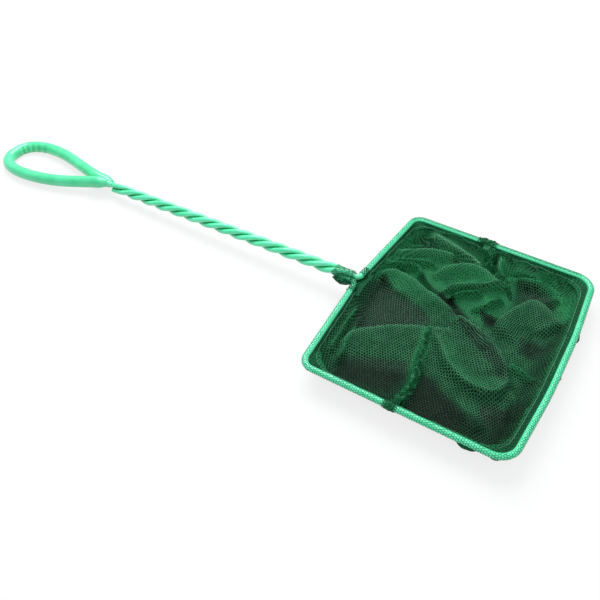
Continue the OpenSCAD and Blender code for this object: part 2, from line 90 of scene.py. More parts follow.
class Side(Enum):
    """The two sides of the hoop, as seen from the handle."""

    LEFT = 1
    RIGHT = -1


# Frame sizes, as in the part's source


@dataclass(frozen=True)
class FrameSizes:
    """Sizes of the wire frame, in millimetres.

    Args:
        hoop_w: Width of the hoop between wire centres.
        hoop_l: Length of the hoop along the handle.
        neck_out: How far the neck stands out from the near corners.
        far_bow: How far the far side bows outwards.
        near_r: Radius of the near corners.
        far_r: Radius of the far corners.
        neck_r: Radius of the bends at the neck.
        bow_r: Radius of the two bends of the bow.
        bow_share: Where the bow bends, as a share of the half width.
        hoop_z: Height of the hoop's wire above the table.
        wire_r: Radius of the wire over its coat.
        strand_gap: Clearance between two strands.
        twist_l: Length of the twist.
        twist_thirds: Thirds of a turn along the twist.
        ease_l: Length over which the twist eases in and out.
        loop_l: Length of the hang loop.
        loop_w: Width of the hang loop.
        crotch_l: Where the loop's legs part.
        loop_lean: Sideways lean of the loop.
        legs_roll: Roll of the legs where they leave the twist, in degrees.
        sleeve_r: Radius of the sleeve.
        sleeve_back: How far the sleeve's ends stand back from the twist.
        seam_x: Where the side seams meet the hoop.
    """

    hoop_w: float = 146.0
    hoop_l: float = 117.0
    neck_out: float = 4.8
    far_bow: float = 3.1
    near_r: float = 7.0
    far_r: float = 11.0
    neck_r: float = 4.0
    bow_r: float = 292.0
    bow_share: float = 1.0 / 3.0
    hoop_z: float = 13.5
    wire_r: float = 1.75
    strand_gap: float = 0.1
    twist_l: float = 191.0
    twist_thirds: int = 14
    ease_l: float = 12.0
    loop_l: float = 97.0
    loop_w: float = 35.4
    crotch_l: float = 12.0
    loop_lean: float = -2.8
    legs_roll: float = 45.0
    sleeve_r: float = 4.1
    sleeve_back: float = 5.0
    seam_x: float = 50.0

    @property
    def half(self) -> float:
        """Half the hoop's width."""
        return self.hoop_w / 2

    @property
    def pair_half(self) -> float:
        """Half the distance between two strands side by side."""
        return self.wire_r + self.strand_gap / 2

    @property
    def ring_r(self) -> float:
        """Radius of the ring on which the strands' centres lie."""
        return (2 * self.wire_r + self.strand_gap) / math.sqrt(3)

    @property
    def neck_corner(self) -> Spot:
        """Corner of the hoop's path at the neck, on the left."""
        return (-self.neck_out * (1 - self.pair_half / self.half), self.pair_half)

    @property
    def twist_x(self) -> float:
        """Where the twist starts."""
        turn = math.atan2(self.half - self.pair_half, -self.neck_corner[0])
        return self.neck_corner[0] - self.neck_r * math.tan(turn / 2)

    @property
    def axis_z(self) -> float:
        """Height of the handle's axis at the neck."""
        return self.hoop_z + self.ring_r / 2

    @property
    def slope(self) -> float:
        """Fall of the handle's axis per millimetre."""
        return (self.axis_z - self.sleeve_r) / (self.twist_l + self.loop_l - self.ease_l / 2)

    @property
    def lay_turn(self) -> float:
        """Whole rotation of the strands, in degrees."""
        return 120.0 * self.twist_thirds + 60.0 - self.legs_roll


SIZES = FrameSizes()


def smooth(v: np.ndarray) -> np.ndarray:
    """Steps smoothly from 0 to 1 as v goes from 0 to 1."""
    c = np.clip(v, 0.0, 1.0)
    return c * c * (3 - 2 * c)


def rough(x: object, y: object, z: object) -> np.ndarray:
    """Reads smooth noise.

    Args:
        x: First coordinates, as an array or one number.
        y: Second coordinates.
        z: Third coordinates.

    Returns:
        The noise at each place, from about -1 to 1.
    """
    return np.array([noise.noise(Vector(spot)) for spot in zip(*np.broadcast_arrays(x, y, z))])


@dataclass(frozen=True)
class Waves:
    """Uneven waves over a sheet.

    Args:
        rates: How fast they run in the two directions, per millimetre.
        seed: Which waves they are.
        depth: Their height.
    """

    rates: Spot
    seed: float
    depth: float = 1.0

    def at(self, x: np.ndarray, y: np.ndarray) -> np.ndarray:
        """Height of the waves at places."""
        return self.depth * rough(x * self.rates[0], y * self.rates[1], self.seed)


@dataclass(frozen=True)
class Crumple:
    """Unevenness of a skin round a wire.

    Args:
        rate: How fast it runs along the wire, per millimetre.
        ring: How fast it runs round the wire.
        seed: Which unevenness it is.
    """

    rate: float
    ring: float
    seed: float = 0.0

    def at(self, s: np.ndarray, angle: np.ndarray) -> np.ndarray:
        """Unevenness at running lengths and angles."""
        return rough(s * self.rate, self.ring * np.cos(angle),
                     self.ring * np.sin(angle) + self.seed)


def shift_x() -> float:
    """Place of the net frame's origin along the part's X, in millimetres."""
    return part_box("hoop_coat")[0].x / MM - SIZES.twist_x


# Paths


@dataclass
class Path:
    """A line in plan, in section or through space, that a wire, hem or thread follows.

    Args:
        points: Points of the line, one row each.

    Attributes:
        lengths: Running length at each point.
    """

    points: np.ndarray
    lengths: np.ndarray = field(init=False)

    def __post_init__(self) -> None:
        """Works out the running length at each point."""
        steps = np.linalg.norm(np.diff(self.points, axis=0), axis=1)
        self.lengths = np.concatenate([[0.0], np.cumsum(steps)])

    @property
    def length(self) -> float:
        """Whole length of the line."""
        return float(self.lengths[-1])

    def at(self, s: np.ndarray) -> np.ndarray:
        """Points at running lengths s."""
        return np.stack([np.interp(s, self.lengths, values) for values in self.points.T], -1)

    def heading(self, s: np.ndarray, reach: float = 0.4) -> np.ndarray:
        """Unit directions of the line at running lengths s."""
        low = np.clip(s - reach, 0.0, self.length)
        high = np.clip(s + reach, 0.0, self.length)
        step = self.at(high) - self.at(low)
        return step / np.linalg.norm(step, axis=-1, keepdims=True)


def rounded_path(corners: list[tuple[Spot, float]], z: float, step: float = 0.5) -> Path:
    """Makes a level line with straights and round bends.

    Args:
        corners: Each corner's place and bend radius. The ends have a radius of 0.
        z: Height of the line.
        step: Distance of the points in its bends.

    Returns:
        The line.
    """
    points: list[np.ndarray] = [np.array(corners[0][0])]
    for i in range(1, len(corners) - 1):
        before, here, after = (np.array(corners[k][0], float) for k in (i - 1, i, i + 1))
        radius = corners[i][1]
        a = (here - before) / np.linalg.norm(here - before)
        b = (after - here) / np.linalg.norm(after - here)
        turn = math.atan2(a[0] * b[1] - a[1] * b[0], float(a @ b))
        middle = (b - a) / np.linalg.norm(b - a)
        centre = here + middle * radius / math.cos(turn / 2)
        first = here - a * radius * math.tan(abs(turn) / 2)
        steps = max(3, int(radius * abs(turn) / step))
        arm = first - centre
        for angle in turn * np.arange(steps + 1) / steps:
            cos, sin = math.cos(angle), math.sin(angle)
            points.append(centre + (arm[0] * cos - arm[1] * sin, arm[0] * sin + arm[1] * cos))
    points.append(np.array(corners[-1][0]))
    flat = np.array(points)
    return Path(np.column_stack([flat, np.full(len(flat), z)]))


# Meshes


def shown(name: str, data: bpy.types.ID) -> bpy.types.Object:
    """Puts an object with a mesh, lamp or camera in the scene, at the origin."""
    obj = bpy.data.objects.new(name, data)
    bpy.context.scene.collection.objects.link(obj)
    return obj


def grid_object(name: str, across: int, along: int, place: Place,
                uv_size: Spot = (1.0, 1.0)) -> bpy.types.Object:
    """Makes a sheet from a grid whose vertices a function puts in place.

    Args:
        name: Name of the object.
        across: Cells in the first direction.
        along: Cells in the second direction.
        place: Function of the two shares, from 0 to 1, that gives points in millimetres.
        uv_size: What the two directions measure on the cloth, in millimetres.

    Returns:
        The object, at the origin, with its UV map in millimetres of cloth.
    """
    bm = bmesh.new()
    bm.loops.layers.uv.new("cloth")
    bmesh.ops.create_grid(bm, x_segments=across, y_segments=along, size=0.5, calc_uvs=True)
    mesh = bpy.data.meshes.new(name)
    bm.to_mesh(mesh)
    bm.free()
    flat = np.zeros(len(mesh.vertices) * 3)
    mesh.vertices.foreach_get("co", flat)
    flat = flat.reshape(-1, 3)
    points = place(flat[:, 0] + 0.5, flat[:, 1] + 0.5)
    points = (points + np.array([shift_x(), 0.0, 0.0])) * MM
    mesh.vertices.foreach_set("co", points.astype(np.float32).ravel())
    uv = np.zeros(len(mesh.loops) * 2)
    mesh.uv_layers["cloth"].data.foreach_get("uv", uv)
    uv = uv.reshape(-1, 2) * np.array(uv_size)
    mesh.uv_layers["cloth"].data.foreach_set("uv", uv.ravel())
    mesh.update()
    mesh.polygons.foreach_set("use_smooth", np.ones(len(mesh.polygons), bool))
    return shown(name, mesh)


def set_attributes(obj: bpy.types.Object, **values: object) -> None:
    """Stores one number per vertex under each name, for the materials to read."""
    for name, numbers in values.items():
        layer = obj.data.attributes.new(name, "FLOAT", "POINT")
        layer.data.foreach_set("value", np.full(len(layer.data), numbers, np.float32))


def mesh_points(obj: bpy.types.Object) -> np.ndarray:
    """Reads a mesh's vertices in the part's frame, one row each, in millimetres."""
    points = np.zeros(len(obj.data.vertices) * 3)
    obj.data.vertices.foreach_get("co", points)
    return points.reshape(-1, 3) / MM


def close_tube(obj: bpy.types.Object, ends: bool = True) -> None:
    """Welds a rolled sheet into a tube and closes its ends.

    Args:
        obj: The rolled sheet.
        ends: Whether the two ends get a cap.
    """
    weld = 0.001 * MM
    bm = bmesh.new()
    bm.from_mesh(obj.data)
    bmesh.ops.remove_doubles(bm, verts=bm.verts, dist=weld)
    if ends:
        bmesh.ops.holes_fill(bm, edges=[e for e in bm.edges if e.is_boundary], sides=0)
    bmesh.ops.recalc_face_normals(bm, faces=bm.faces)
    bm.to_mesh(obj.data)
    bm.free()


def tube(name: str, path: Path, radius: Place, sides: int, step: float,
         ends: bool = True, groove: Place | None = None) -> bpy.types.Object:
    """Makes a round tube along a path by rolling a sheet round it.

    Args:
        name: Name of the object.
        path: Line that the tube follows.
        radius: Function of running length and of the angle round, that gives the radius.
        sides: Cells round the tube.
        step: Length of a cell along the tube.
        ends: Whether the two ends get a cap.
        groove: Function of the same two that gives how much painted shade the skin has in its
            grooves.

    Returns:
        The tube's object.
    """
    kept: dict[str, np.ndarray] = {}

    def place(u: np.ndarray, v: np.ndarray) -> np.ndarray:
        s, angle = v * path.length, u * TAU
        kept["s"], kept["angle"] = s, angle
        along = path.heading(s)
        side = np.cross(UP, along)
        side /= np.linalg.norm(side, axis=-1, keepdims=True)
        up = np.cross(along, side)
        r = radius(s, angle)
        return (path.at(s) + (r * np.cos(angle))[:, None] * side
                + (r * np.sin(angle))[:, None] * up)

    skin = (TAU * SKIN_R, path.length)
    obj = grid_object(name, sides, max(2, int(path.length / step)), place, skin)
    # Painted shade in the tube's grooves, where a function for it is given.
    if groove is not None:
        set_attributes(obj, groove=groove(kept["s"], kept["angle"]))
    close_tube(obj, ends)
    return obj


def finish_piece(obj: bpy.types.Object, material: bpy.types.Material, slot: Slot,
                 *stands_for: str) -> None:
    """Dresses a piece, puts it on the frame and reports it.

    Args:
        obj: The piece.
        material: Its material.
        slot: The record's slot of the piece; not used.
        *stands_for: CAD nodes that it replaces.
    """
    obj.data.materials.clear()
    obj.data.materials.append(material)
    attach(obj, "root")
    if stands_for:
        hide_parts(*stands_for)
    log.info("%s: %d faces", obj.name, len(obj.data.polygons))


# Materials


class Nodes:
    """Short way to build the node tree of one material or world."""

    def __init__(self, owner: bpy.types.Material | bpy.types.World) -> None:
        """Starts with an empty tree.

        Args:
            owner: The material or world that the tree belongs to.
        """
        owner.use_nodes = True
        self.owner = owner
        self.tree = owner.node_tree
        self.tree.nodes.clear()

    def add(self, kind: str, **settings: object) -> bpy.types.Node:
        """Adds a node and sets its properties.

        Args:
            kind: Type of the node.
            **settings: Properties to set on it.

        Returns:
            The node.
        """
        node = self.tree.nodes.new(kind)
        for key, value in settings.items():
            setattr(node, key, value)
        return node

    def put(self, socket: bpy.types.NodeSocket, value: object) -> None:
        """Links a socket to another, or sets its value."""
        if isinstance(value, bpy.types.NodeSocket):
            self.tree.links.new(value, socket)
        else:
            socket.default_value = value

    def joined(self, node: bpy.types.Node, *values: object) -> object:
        """Fills a node's first sockets in order and returns its first output."""
        for socket, value in zip(node.inputs, values):
            self.put(socket, value)
        return node.outputs[0]

    def math(self, operation: str, *values: object) -> object:
        """Adds a Math node and returns its result."""
        return self.joined(self.add("ShaderNodeMath", operation=operation), *values)

    def vector(self, operation: str, a: object, b: object = None) -> object:
        """Adds a Vector Math node and returns its result."""
        node = self.add("ShaderNodeVectorMath", operation=operation)
        self.put(node.inputs[0], a)
        if b is not None:
            self.put(node.inputs["Scale" if operation == "SCALE" else 1], b)
        return node.outputs["Value" if operation == "LENGTH" else "Vector"]

    def mix(self, share: object, a: object, b: object) -> object:
        """Mixes two colours and returns the result."""
        node = self.add("ShaderNodeMix", data_type="RGBA")
        for socket, value in zip(("Factor", 6, 7), (share, a, b)):
            self.put(node.inputs[socket], value)
        return node.outputs[2]

    def spread(self, value: object, low: float, high: float, to_low: float,
               to_high: float) -> object:
        """Maps a value from one range to another, held at its ends."""
        return self.joined(self.add("ShaderNodeMapRange"), value, low, high, to_low, to_high)

    def noise(self, vector: object, scale: float, detail: float = 2.0) -> object:
        """Adds a noise and returns its value."""
        return self.filled("ShaderNodeTexNoise", "Fac", Vector=vector, Scale=scale,
                           Detail=detail)

    def filled(self, kind: str, output: str | int, **sockets: object) -> object:
        """Adds a node, fills its sockets and returns one of its outputs.

        Args:
            kind: Type of the node.
            output: Name or number of the output.
            **sockets: Value or link of each socket, with _ for each space in its name.

        Returns:
            The output.
        """
        node = self.add(kind)
        for name, value in sockets.items():
            self.put(node.inputs[name.replace("_", " ")], value)
        return node.outputs[output]

    def object_place(self) -> object:
        """Returns the object coordinates."""
        return self.add("ShaderNodeTexCoord").outputs["Object"]

    def cloth_place(self) -> object:
        """Returns the place on the piece's own UV map."""
        return self.add("ShaderNodeUVMap", uv_map="cloth").outputs[0]

    def attribute(self, name: str) -> object:
        """Returns a number that the mesh stores for each vertex."""
        return self.add("ShaderNodeAttribute", attribute_name=name).outputs["Fac"]

    def bump(self, height: object, strength: float, distance: float) -> object:
        """Adds a bump and returns its normal."""
        return self.filled("ShaderNodeBump", "Normal", Strength=strength, Distance=distance,
                           Height=height)

    def principled(self, **sockets: object) -> object:
        """Adds the shader of a solid surface and returns it."""
        return self.filled("ShaderNodeBsdfPrincipled", 0, **sockets)

    def mix_shaders(self, share: object, a: object, b: object) -> object:
        """Mixes two shaders and returns the result."""
        return self.joined(self.add("ShaderNodeMixShader"), share, a, b)

    def finish(self, surface: object) -> bpy.types.Material | bpy.types.World:
        """Joins a surface to the output and returns the tree's owner."""
        world = isinstance(self.owner, bpy.types.World)
        out = self.add("ShaderNodeOutputWorld" if world else "ShaderNodeOutputMaterial")
        self.put(out.inputs["Surface"], surface)
        return self.owner


def srgb(red: float, green: float, blue: float) -> Colour:
    """Colour for a socket from screen values of 0 to 255."""
    def channel(value: float) -> float:
        share = value / 255.0
        return share / 12.92 if share <= 0.04045 else ((share + 0.055) / 1.055) ** 2.4
    return (channel(red), channel(green), channel(blue), 1.0)


@dataclass(frozen=True)
class PlasticFinish:
    """Soft plastic coat or sleeve.

    Args:
        name: Name of the finish.
        colour: Its colour.
        deep: Its colour where it is a little darker.
        groove: Painted shade deep in the grooves and wrinkles, by the attribute of that name.
        roughness: Roughness of its surface.
        coat: Weight of the clear gloss on top.
        grain: Size of the faint unevenness, in waves per metre.
        grain_depth: Depth of the unevenness, in metres.
    """

    name: str
    colour: Colour
    deep: Colour
    groove: Colour
    roughness: float
    coat: float
    grain: float
    grain_depth: float

    def material(self) -> bpy.types.Material:
        """Builds the material."""
        n = Nodes(bpy.data.materials.new(self.name))
        place = n.object_place()
        cloud = n.noise(place, self.grain * 0.12)
        fine = n.noise(place, self.grain, 3.0)
        colour = n.mix(n.spread(cloud, 0.35, 0.65, 0.0, 1.0), self.colour, self.deep)
        # Painted shade in the grooves and wrinkles darkens the base colour.
        return n.finish(n.principled(
            Base_Color=n.mix(n.attribute("groove"), colour, self.groove),
            Roughness=n.spread(fine, 0.3, 0.7, self.roughness - 0.05, self.roughness + 0.07),
            Coat_Weight=self.coat,
            Coat_Roughness=0.18,
            Subsurface_Weight=0.12,
            Subsurface_Radius=(0.6, 1.0, 0.8),
            Subsurface_Scale=1.2 * MM,
            Normal=n.bump(fine, 0.35, self.grain_depth)))


@dataclass(frozen=True)
class SteelFinish:
    """Drawn steel wire, which shows at its cut ends.

    Args:
        name: Name of the finish.
        dark: Colour of its drawing lines.
        light: Colour between them.
        line_rates: Lines per metre along the three axes.
    """

    name: str = "drawn_steel"
    dark: Colour = srgb(150, 153, 156)
    light: Colour = srgb(196, 199, 202)
    line_rates: tuple[float, float, float] = (40.0, 2200.0, 2200.0)

    def material(self) -> bpy.types.Material:
        """Builds the material."""
        n = Nodes(bpy.data.materials.new(self.name))
        lines = n.noise(n.vector("MULTIPLY", n.object_place(), self.line_rates), 1.0)
        return n.finish(n.principled(
            Base_Color=n.mix(lines, self.dark, self.light),
            Metallic=1.0,
            Roughness=n.spread(lines, 0.3, 0.7, 0.28, 0.42)))


@dataclass(frozen=True)
class MeshFinish:
    """Fine knitted net with six-sided holes, laid out on the cloth's own UV map.

    The attribute "cover" says how densely the net lies: 0 is one open layer, and 1 is
    several layers on each other. The painted-shade attribute darkens the net with painted
    shade where it lies deep, "pale" greys it where the table's light comes through, "crest"
    paints a highlight along the folds' crests and lighter patches at random on the seam
    strips and the neck's wrap, and "pulled" says where it is pulled long.

    Args:
        name: Name of the finish.
        thread: Colour of the thread where the net lies densely.
        open_thread: Colour of the thread in one open layer.
        shade: Colour of the thread's shaded parts.
        behind: Colours of the layers right behind the holes, open and dense, painted dark with
            their shade and the table's shadow.
        second: Colour of the second layer's thread, which shows in the holes of dense net.
        backed_from: How densely the net must lie before its holes show those layers
            instead of what is really behind.
        pitch: Distance between holes, in millimetres.
        open_r: Radius of a hole in an open layer, as a share of the pitch.
        dense_r: The same where the net lies densely.
        relief: Height of the thread, in metres.
        shine: Specular level of the thread.
        lit: Colour of the painted highlight on a fold's crest, and of lighter patches at random.
        greyed: Colour of the net where the table's light comes through.
        deepest_shade: Colour of the painted shade where the net lies deep.
        pull_turn: Direction of the pull where the net is pulled long, in degrees.
        pull_rates: How fast the cloth runs there along the pull and across it.
        gap_edges: Where the gap between two long threads ends, as shares of the pitch.
        second_turn: How far the second layer is turned against the first, in radians.
        second_rate: How much finer it is.
        second_shift: How far it is moved, in millimetres.
    """

    name: str
    thread: Colour
    open_thread: Colour
    shade: Colour
    behind: tuple[Colour, Colour]
    second: Colour
    backed_from: float
    pitch: float
    open_r: float
    dense_r: float = 0.30
    relief: float = 0.3 * MM
    shine: float = 0.12
    lit: Colour = srgb(104, 172, 134)
    greyed: Colour = srgb(84, 100, 88)
    deepest_shade: Colour = srgb(2, 10, 6)
    pull_turn: float = -33.0
    pull_rates: Spot = (0.4, 1.1)
    gap_edges: Spot = (0.24, 0.34)
    second_turn: float = 0.45
    second_rate: float = 1.1
    second_shift: Spot = (0.7, 0.4)

    def holes(self, n: Nodes, uv: object, cover: object) -> tuple[object, object]:
        """Lays out the six-sided holes.

        Args:
            n: The material's nodes.
            uv: Place on the cloth, in millimetres.
            cover: How densely the net lies.

        Returns:
            Distance from the nearest hole's middle, and 1 on the thread or 0 in a hole.
        """
        row = math.sqrt(3.0)
        middle = (0.5, 0.5, 0.0)
        place = n.vector("SCALE", uv, 1.0 / self.pitch)
        shares = n.vector("MULTIPLY", place, (1.0, 1.0 / row, 0.0))
        near = []
        for offset in ((0.0, 0.0, 0.0), middle):
            part = n.vector("FRACTION", n.vector("ADD", shares, offset))
            centred = n.vector("SUBTRACT", part, middle)
            near.append(n.vector("LENGTH", n.vector("MULTIPLY", centred, (1.0, row, 1.0))))
        distance = n.math("MINIMUM", *near)
        hole = n.spread(cover, 0.0, 1.0, self.open_r, self.dense_r)
        hole = n.math("ADD", hole, n.spread(n.noise(uv, 0.6), 0.3, 0.7, -0.04, 0.04))
        return distance, n.spread(n.math("SUBTRACT", distance, hole), -0.03, 0.03, 0.0, 1.0)

    def long_threads(self, n: Nodes, uv: object) -> object:
        """Lays out the long threads of the net where it is pulled.

        Args:
            n: The material's nodes.
            uv: Place on the cloth, in millimetres.

        Returns:
            A value that is 1 on a thread and 0 in a gap.
        """
        along, across = self.pull_rates
        pull = n.add("ShaderNodeMapping", vector_type="TEXTURE")
        n.put(pull.inputs["Vector"], uv)
        n.put(pull.inputs["Rotation"], (0.0, 0.0, math.radians(self.pull_turn)))
        n.put(pull.inputs["Scale"], (1 / along, 1 / across, 1.0))
        place = pull.outputs[0]
        sway = n.spread(n.noise(place, 0.5), 0.3, 0.7, -0.3, 0.3)
        run = n.math("DIVIDE", n.filled("ShaderNodeSeparateXYZ", "Y", Vector=place), self.pitch)
        gap = n.math("ABSOLUTE", n.math("SUBTRACT", n.math("FRACT", n.math("ADD", run, sway)),
                                        0.5))
        _, knots = self.holes(n, place, 0.0)
        return n.math("MAXIMUM", n.spread(gap, *self.gap_edges, 0.0, 1.0),
                      n.math("MULTIPLY", knots, 0.45))

    def backing(self, n: Nodes, uv: object, cover: object) -> object:
        """Colours what shows in the holes of dense net.

        Args:
            n: The material's nodes.
            uv: Place on the cloth, in millimetres.
            cover: How densely the net lies.

        Returns:
            The colour.
        """
        place = n.filled("ShaderNodeMapping", 0, Vector=uv, Location=(*self.second_shift, 0.0),
                         Rotation=(0.0, 0.0, self.second_turn),
                         Scale=(self.second_rate, self.second_rate, 1.0))
        _, lower = self.holes(n, place, 0.4)
        return n.mix(n.math("MULTIPLY", lower, n.spread(cover, 0.2, 0.6, 0.0, 1.0)),
                     n.mix(cover, *self.behind), self.second)

    def material(self) -> bpy.types.Material:
        """Builds the material."""
        n = Nodes(bpy.data.materials.new(self.name))
        uv = n.cloth_place()
        cover, pulled = n.attribute("cover"), n.attribute("pulled")
        distance, solid = self.holes(n, uv, cover)
        solid = n.mix(pulled, solid, self.long_threads(n, uv))
        lie = n.noise(n.object_place(), 120.0, 3.0)
        colour = n.mix(cover, self.open_thread, self.thread)
        colour = n.mix(n.spread(lie, 0.35, 0.75, 0.0, 0.6), colour, self.shade)
        colour = n.mix(n.spread(n.noise(uv, 0.9), 0.42, 0.6, 0.0, 0.5), colour, self.shade)
        colour = n.mix(n.math("MULTIPLY", pulled, 0.3), colour, self.shade)
        # Painted highlight along the folds' crests; on the seam strips and the neck's wrap,
        # lighter patches at random.
        colour = n.mix(n.attribute("crest"), colour, self.lit)
        # The holes of dense net show the layers behind in painted shade.
        colour = n.mix(solid, self.backing(n, uv, cover), colour)
        colour = n.mix(n.attribute("pale"), colour, self.greyed)
        # Painted shade where the net lies deep.
        colour = n.mix(n.attribute("dim"), colour, self.deepest_shade)
        surface = n.principled(Base_Color=colour, Roughness=0.7, Specular_IOR_Level=self.shine,
                               Normal=n.bump(distance, 0.5, self.relief))
        if self.backed_from <= 0:
            return n.finish(surface)
        backed = n.spread(cover, self.backed_from, self.backed_from + 0.3, 0.0, 1.0)
        clear = n.add("ShaderNodeBsdfTransparent").outputs[0]
        return n.finish(n.mix_shaders(n.math("MAXIMUM", solid, backed), clear, surface))


@dataclass(frozen=True)
class ThreadFinish:
    """Sewing thread with its own fine twist along the UV map.

    Args:
        name: Name of the finish.
        colour: Colour of the thread.
        deep: Colour between its plies.
        plies: Plies per millimetre.
        relief: Depth between the plies, in metres.
    """

    name: str
    colour: Colour
    deep: Colour
    plies: float = 1.6
    relief: float = 0.1 * MM

    def material(self) -> bpy.types.Material:
        """Builds the material."""
        n = Nodes(bpy.data.materials.new(self.name))
        wave = n.add("ShaderNodeTexWave", wave_type="BANDS", bands_direction="DIAGONAL")
        n.put(wave.inputs["Vector"], n.cloth_place())
        n.put(wave.inputs["Scale"], self.plies)
        ply = wave.outputs["Fac"]
        return n.finish(n.principled(
            Base_Color=n.mix(ply, self.deep, self.colour),
            Roughness=0.6,
            Normal=n.bump(ply, 0.4, self.relief)))


# Frame pieces


@dataclass
class Handle:
    """The twisted handle and the hang loop with its sleeve.

    Args:
        sizes: Sizes of the frame.
        starts: Angle of each strand at the neck, by CAD node.
        strand_steps: Steps of a strand's centre line.
        strand_cells: Cells round a strand, and the length of one.
        groove_r: Distance from the axis, in wire radii, within which a strand's skin lies in
        the grooves and gets painted shade, and over which that shade fades.
        loop_steps: Steps of the loop's centre line.
        loop_cells: Cells round the loop's wire, and the length of one.
        tip_power: How blunt the loop's tip is.
        peak_share: Share of the teardrop's formula at its widest place.
        blend_power: How sharply the legs leave their closed run.
        sleeve_steps: Steps of the sleeve's centre line.
        sleeve_cells: Cells round the sleeve, and the length of one.
        sleeve_end: Length over which the sleeve's ends are rounded.
        sleeve_end_share: How much narrower they are, as a share of its radius.
        wrinkles: Number of wrinkles inside the sleeve's tight bend.
        wrinkle_depth: Depth of a wrinkle.
        wrinkle_turns: Between which angles of the loop the wrinkles lie, in degrees.
        wrinkle_zone: Between which angles they fade in and out.
        wrinkle_fade: Over how many degrees they fade.
    """

    sizes: FrameSizes = SIZES
    starts: dict[str, float] = field(default_factory=lambda: {
        "left_strand": 330.0, "right_strand": 210.0, "tail_strand": 90.0})
    strand_steps: int = 700
    strand_cells: tuple[int, float] = (28, 0.45)
    groove_r: float = 0.95
    loop_steps: int = 721
    loop_cells: tuple[int, float] = (24, 0.6)
    tip_power: float = 0.8
    peak_share: float = 0.4327
    blend_power: float = 4.0
    sleeve_steps: int = 900
    sleeve_cells: tuple[int, float] = (40, 0.5)
    sleeve_end: float = 0.7
    sleeve_end_share: float = 0.07
    wrinkles: int = 5
    wrinkle_depth: float = 0.55
    wrinkle_turns: Spot = (124.0, 176.0)
    wrinkle_zone: Spot = (122.0, 184.0)
    wrinkle_fade: float = 12.0

    def eased(self, s: np.ndarray, both: bool) -> np.ndarray:
        """Length run at full rate at s, eased in, and out too if both is true."""
        z = self.sizes
        out = np.where(s < z.ease_l, s * s / (2 * z.ease_l), s - z.ease_l / 2)
        if both:
            tail = z.twist_l - z.ease_l - (z.twist_l - s) ** 2 / (2 * z.ease_l)
            out = np.where(s > z.twist_l - z.ease_l, tail, out)
        return out

    def axis_height(self, s: np.ndarray) -> np.ndarray:
        """Height of the handle's axis at s from the neck."""
        return self.sizes.axis_z - self.sizes.slope * self.eased(s, False)

    def strand_path(self, start: float) -> Path:
        """Centre line of a strand that starts at an angle round the axis."""
        z = self.sizes
        s = np.linspace(0.0, z.twist_l, self.strand_steps)
        angle = np.radians(start + z.lay_turn * self.eased(s, True) / (z.twist_l - z.ease_l))
        return Path(np.column_stack([
            z.twist_x - s, z.ring_r * np.cos(angle),
            self.axis_height(s) + z.ring_r * np.sin(angle)]))

    def closed_half(self, s: np.ndarray) -> np.ndarray:
        """Half the distance of the loop's legs while they run closed."""
        z = self.sizes
        opened = z.sleeve_r + z.strand_gap
        return z.pair_half + (opened - z.pair_half) * smooth(s / z.crotch_l)

    def loop_path(self) -> tuple[Path, np.ndarray]:
        """Centre line of the loop's wire, and the angle t at each of its points."""
        z = self.sizes
        t = np.linspace(0.0, 360.0, self.loop_steps)
        s = z.loop_l * np.sin(np.radians(t / 2)) ** 2
        c = np.cos(np.radians(t / 2))
        opened = (z.loop_w / 2 / self.peak_share
                  * np.maximum(s - z.crotch_l, 0.0) / (z.loop_l - z.crotch_l))
        power = self.blend_power
        half = (self.closed_half(s) ** power + opened ** power) ** (1 / power)
        half = half * np.sign(c) * np.abs(c) ** self.tip_power
        roll = np.radians(-z.legs_roll) * (1 - smooth(s / (2 * z.crotch_l)))
        settle = smooth(s / (4 * z.crotch_l))
        mid_y = -z.ring_r / 2 * np.sin(roll) * (1 - settle) + z.loop_lean * settle
        mid_z = z.ring_r / 2 * np.cos(roll) * (1 - settle)
        points = np.column_stack([
            z.twist_x - z.twist_l - s, mid_y + half * np.cos(roll),
            self.axis_height(z.twist_l + s) + mid_z + half * np.sin(roll)])
        return Path(points), t

    def build(self, coat: bpy.types.Material, sleeve: bpy.types.Material) -> None:
        """Makes the strands, the loop's wire and the sleeve.

        Args:
            coat: Material of the wire's coat.
            sleeve: Material of the sleeve.
        """
        z = self.sizes

        def wire(s: np.ndarray, angle: np.ndarray) -> np.ndarray:
            return np.full_like(s, z.wire_r)

        for name, start in self.starts.items():
            strand = tube(f"{name}_coat", self.strand_path(start), wire, *self.strand_cells)
            # Painted shade in the grooves between the strands, near the handle's axis.
            spot = mesh_points(strand)
            s = np.maximum(z.twist_x + shift_x() - spot[:, 0], 0.0)
            away = np.hypot(spot[:, 1], spot[:, 2] - self.axis_height(s)) / z.wire_r
            set_attributes(strand, groove=1 - smooth((away - self.groove_r) / self.groove_r))
            finish_piece(strand, coat, Slot.COAT, name)
        path, t = self.loop_path()
        finish_piece(tube("loop_wire_coat", path, wire, *self.loop_cells), coat, Slot.COAT,
                     "loop_coat")
        finish_piece(self.sleeve(path, t), sleeve, Slot.SLEEVE, "loop_sleeve")

    def sleeve(self, path: Path, t: np.ndarray) -> bpy.types.Object:
        """Makes the soft sleeve, with wrinkles inside its tight bends.

        Args:
            path: Centre line of the loop's wire.
            t: Angle of the loop at each of its points, in degrees.

        Returns:
            The sleeve's object.
        """
        z = self.sizes
        back = np.degrees(2 * math.asin(math.sqrt(z.sleeve_back / z.loop_l)))
        start = float(np.interp(back, t, path.lengths))
        inside = Path(path.at(np.linspace(start, path.length - start, self.sleeve_steps)))
        first, last = self.wrinkle_turns
        low, high = self.wrinkle_zone

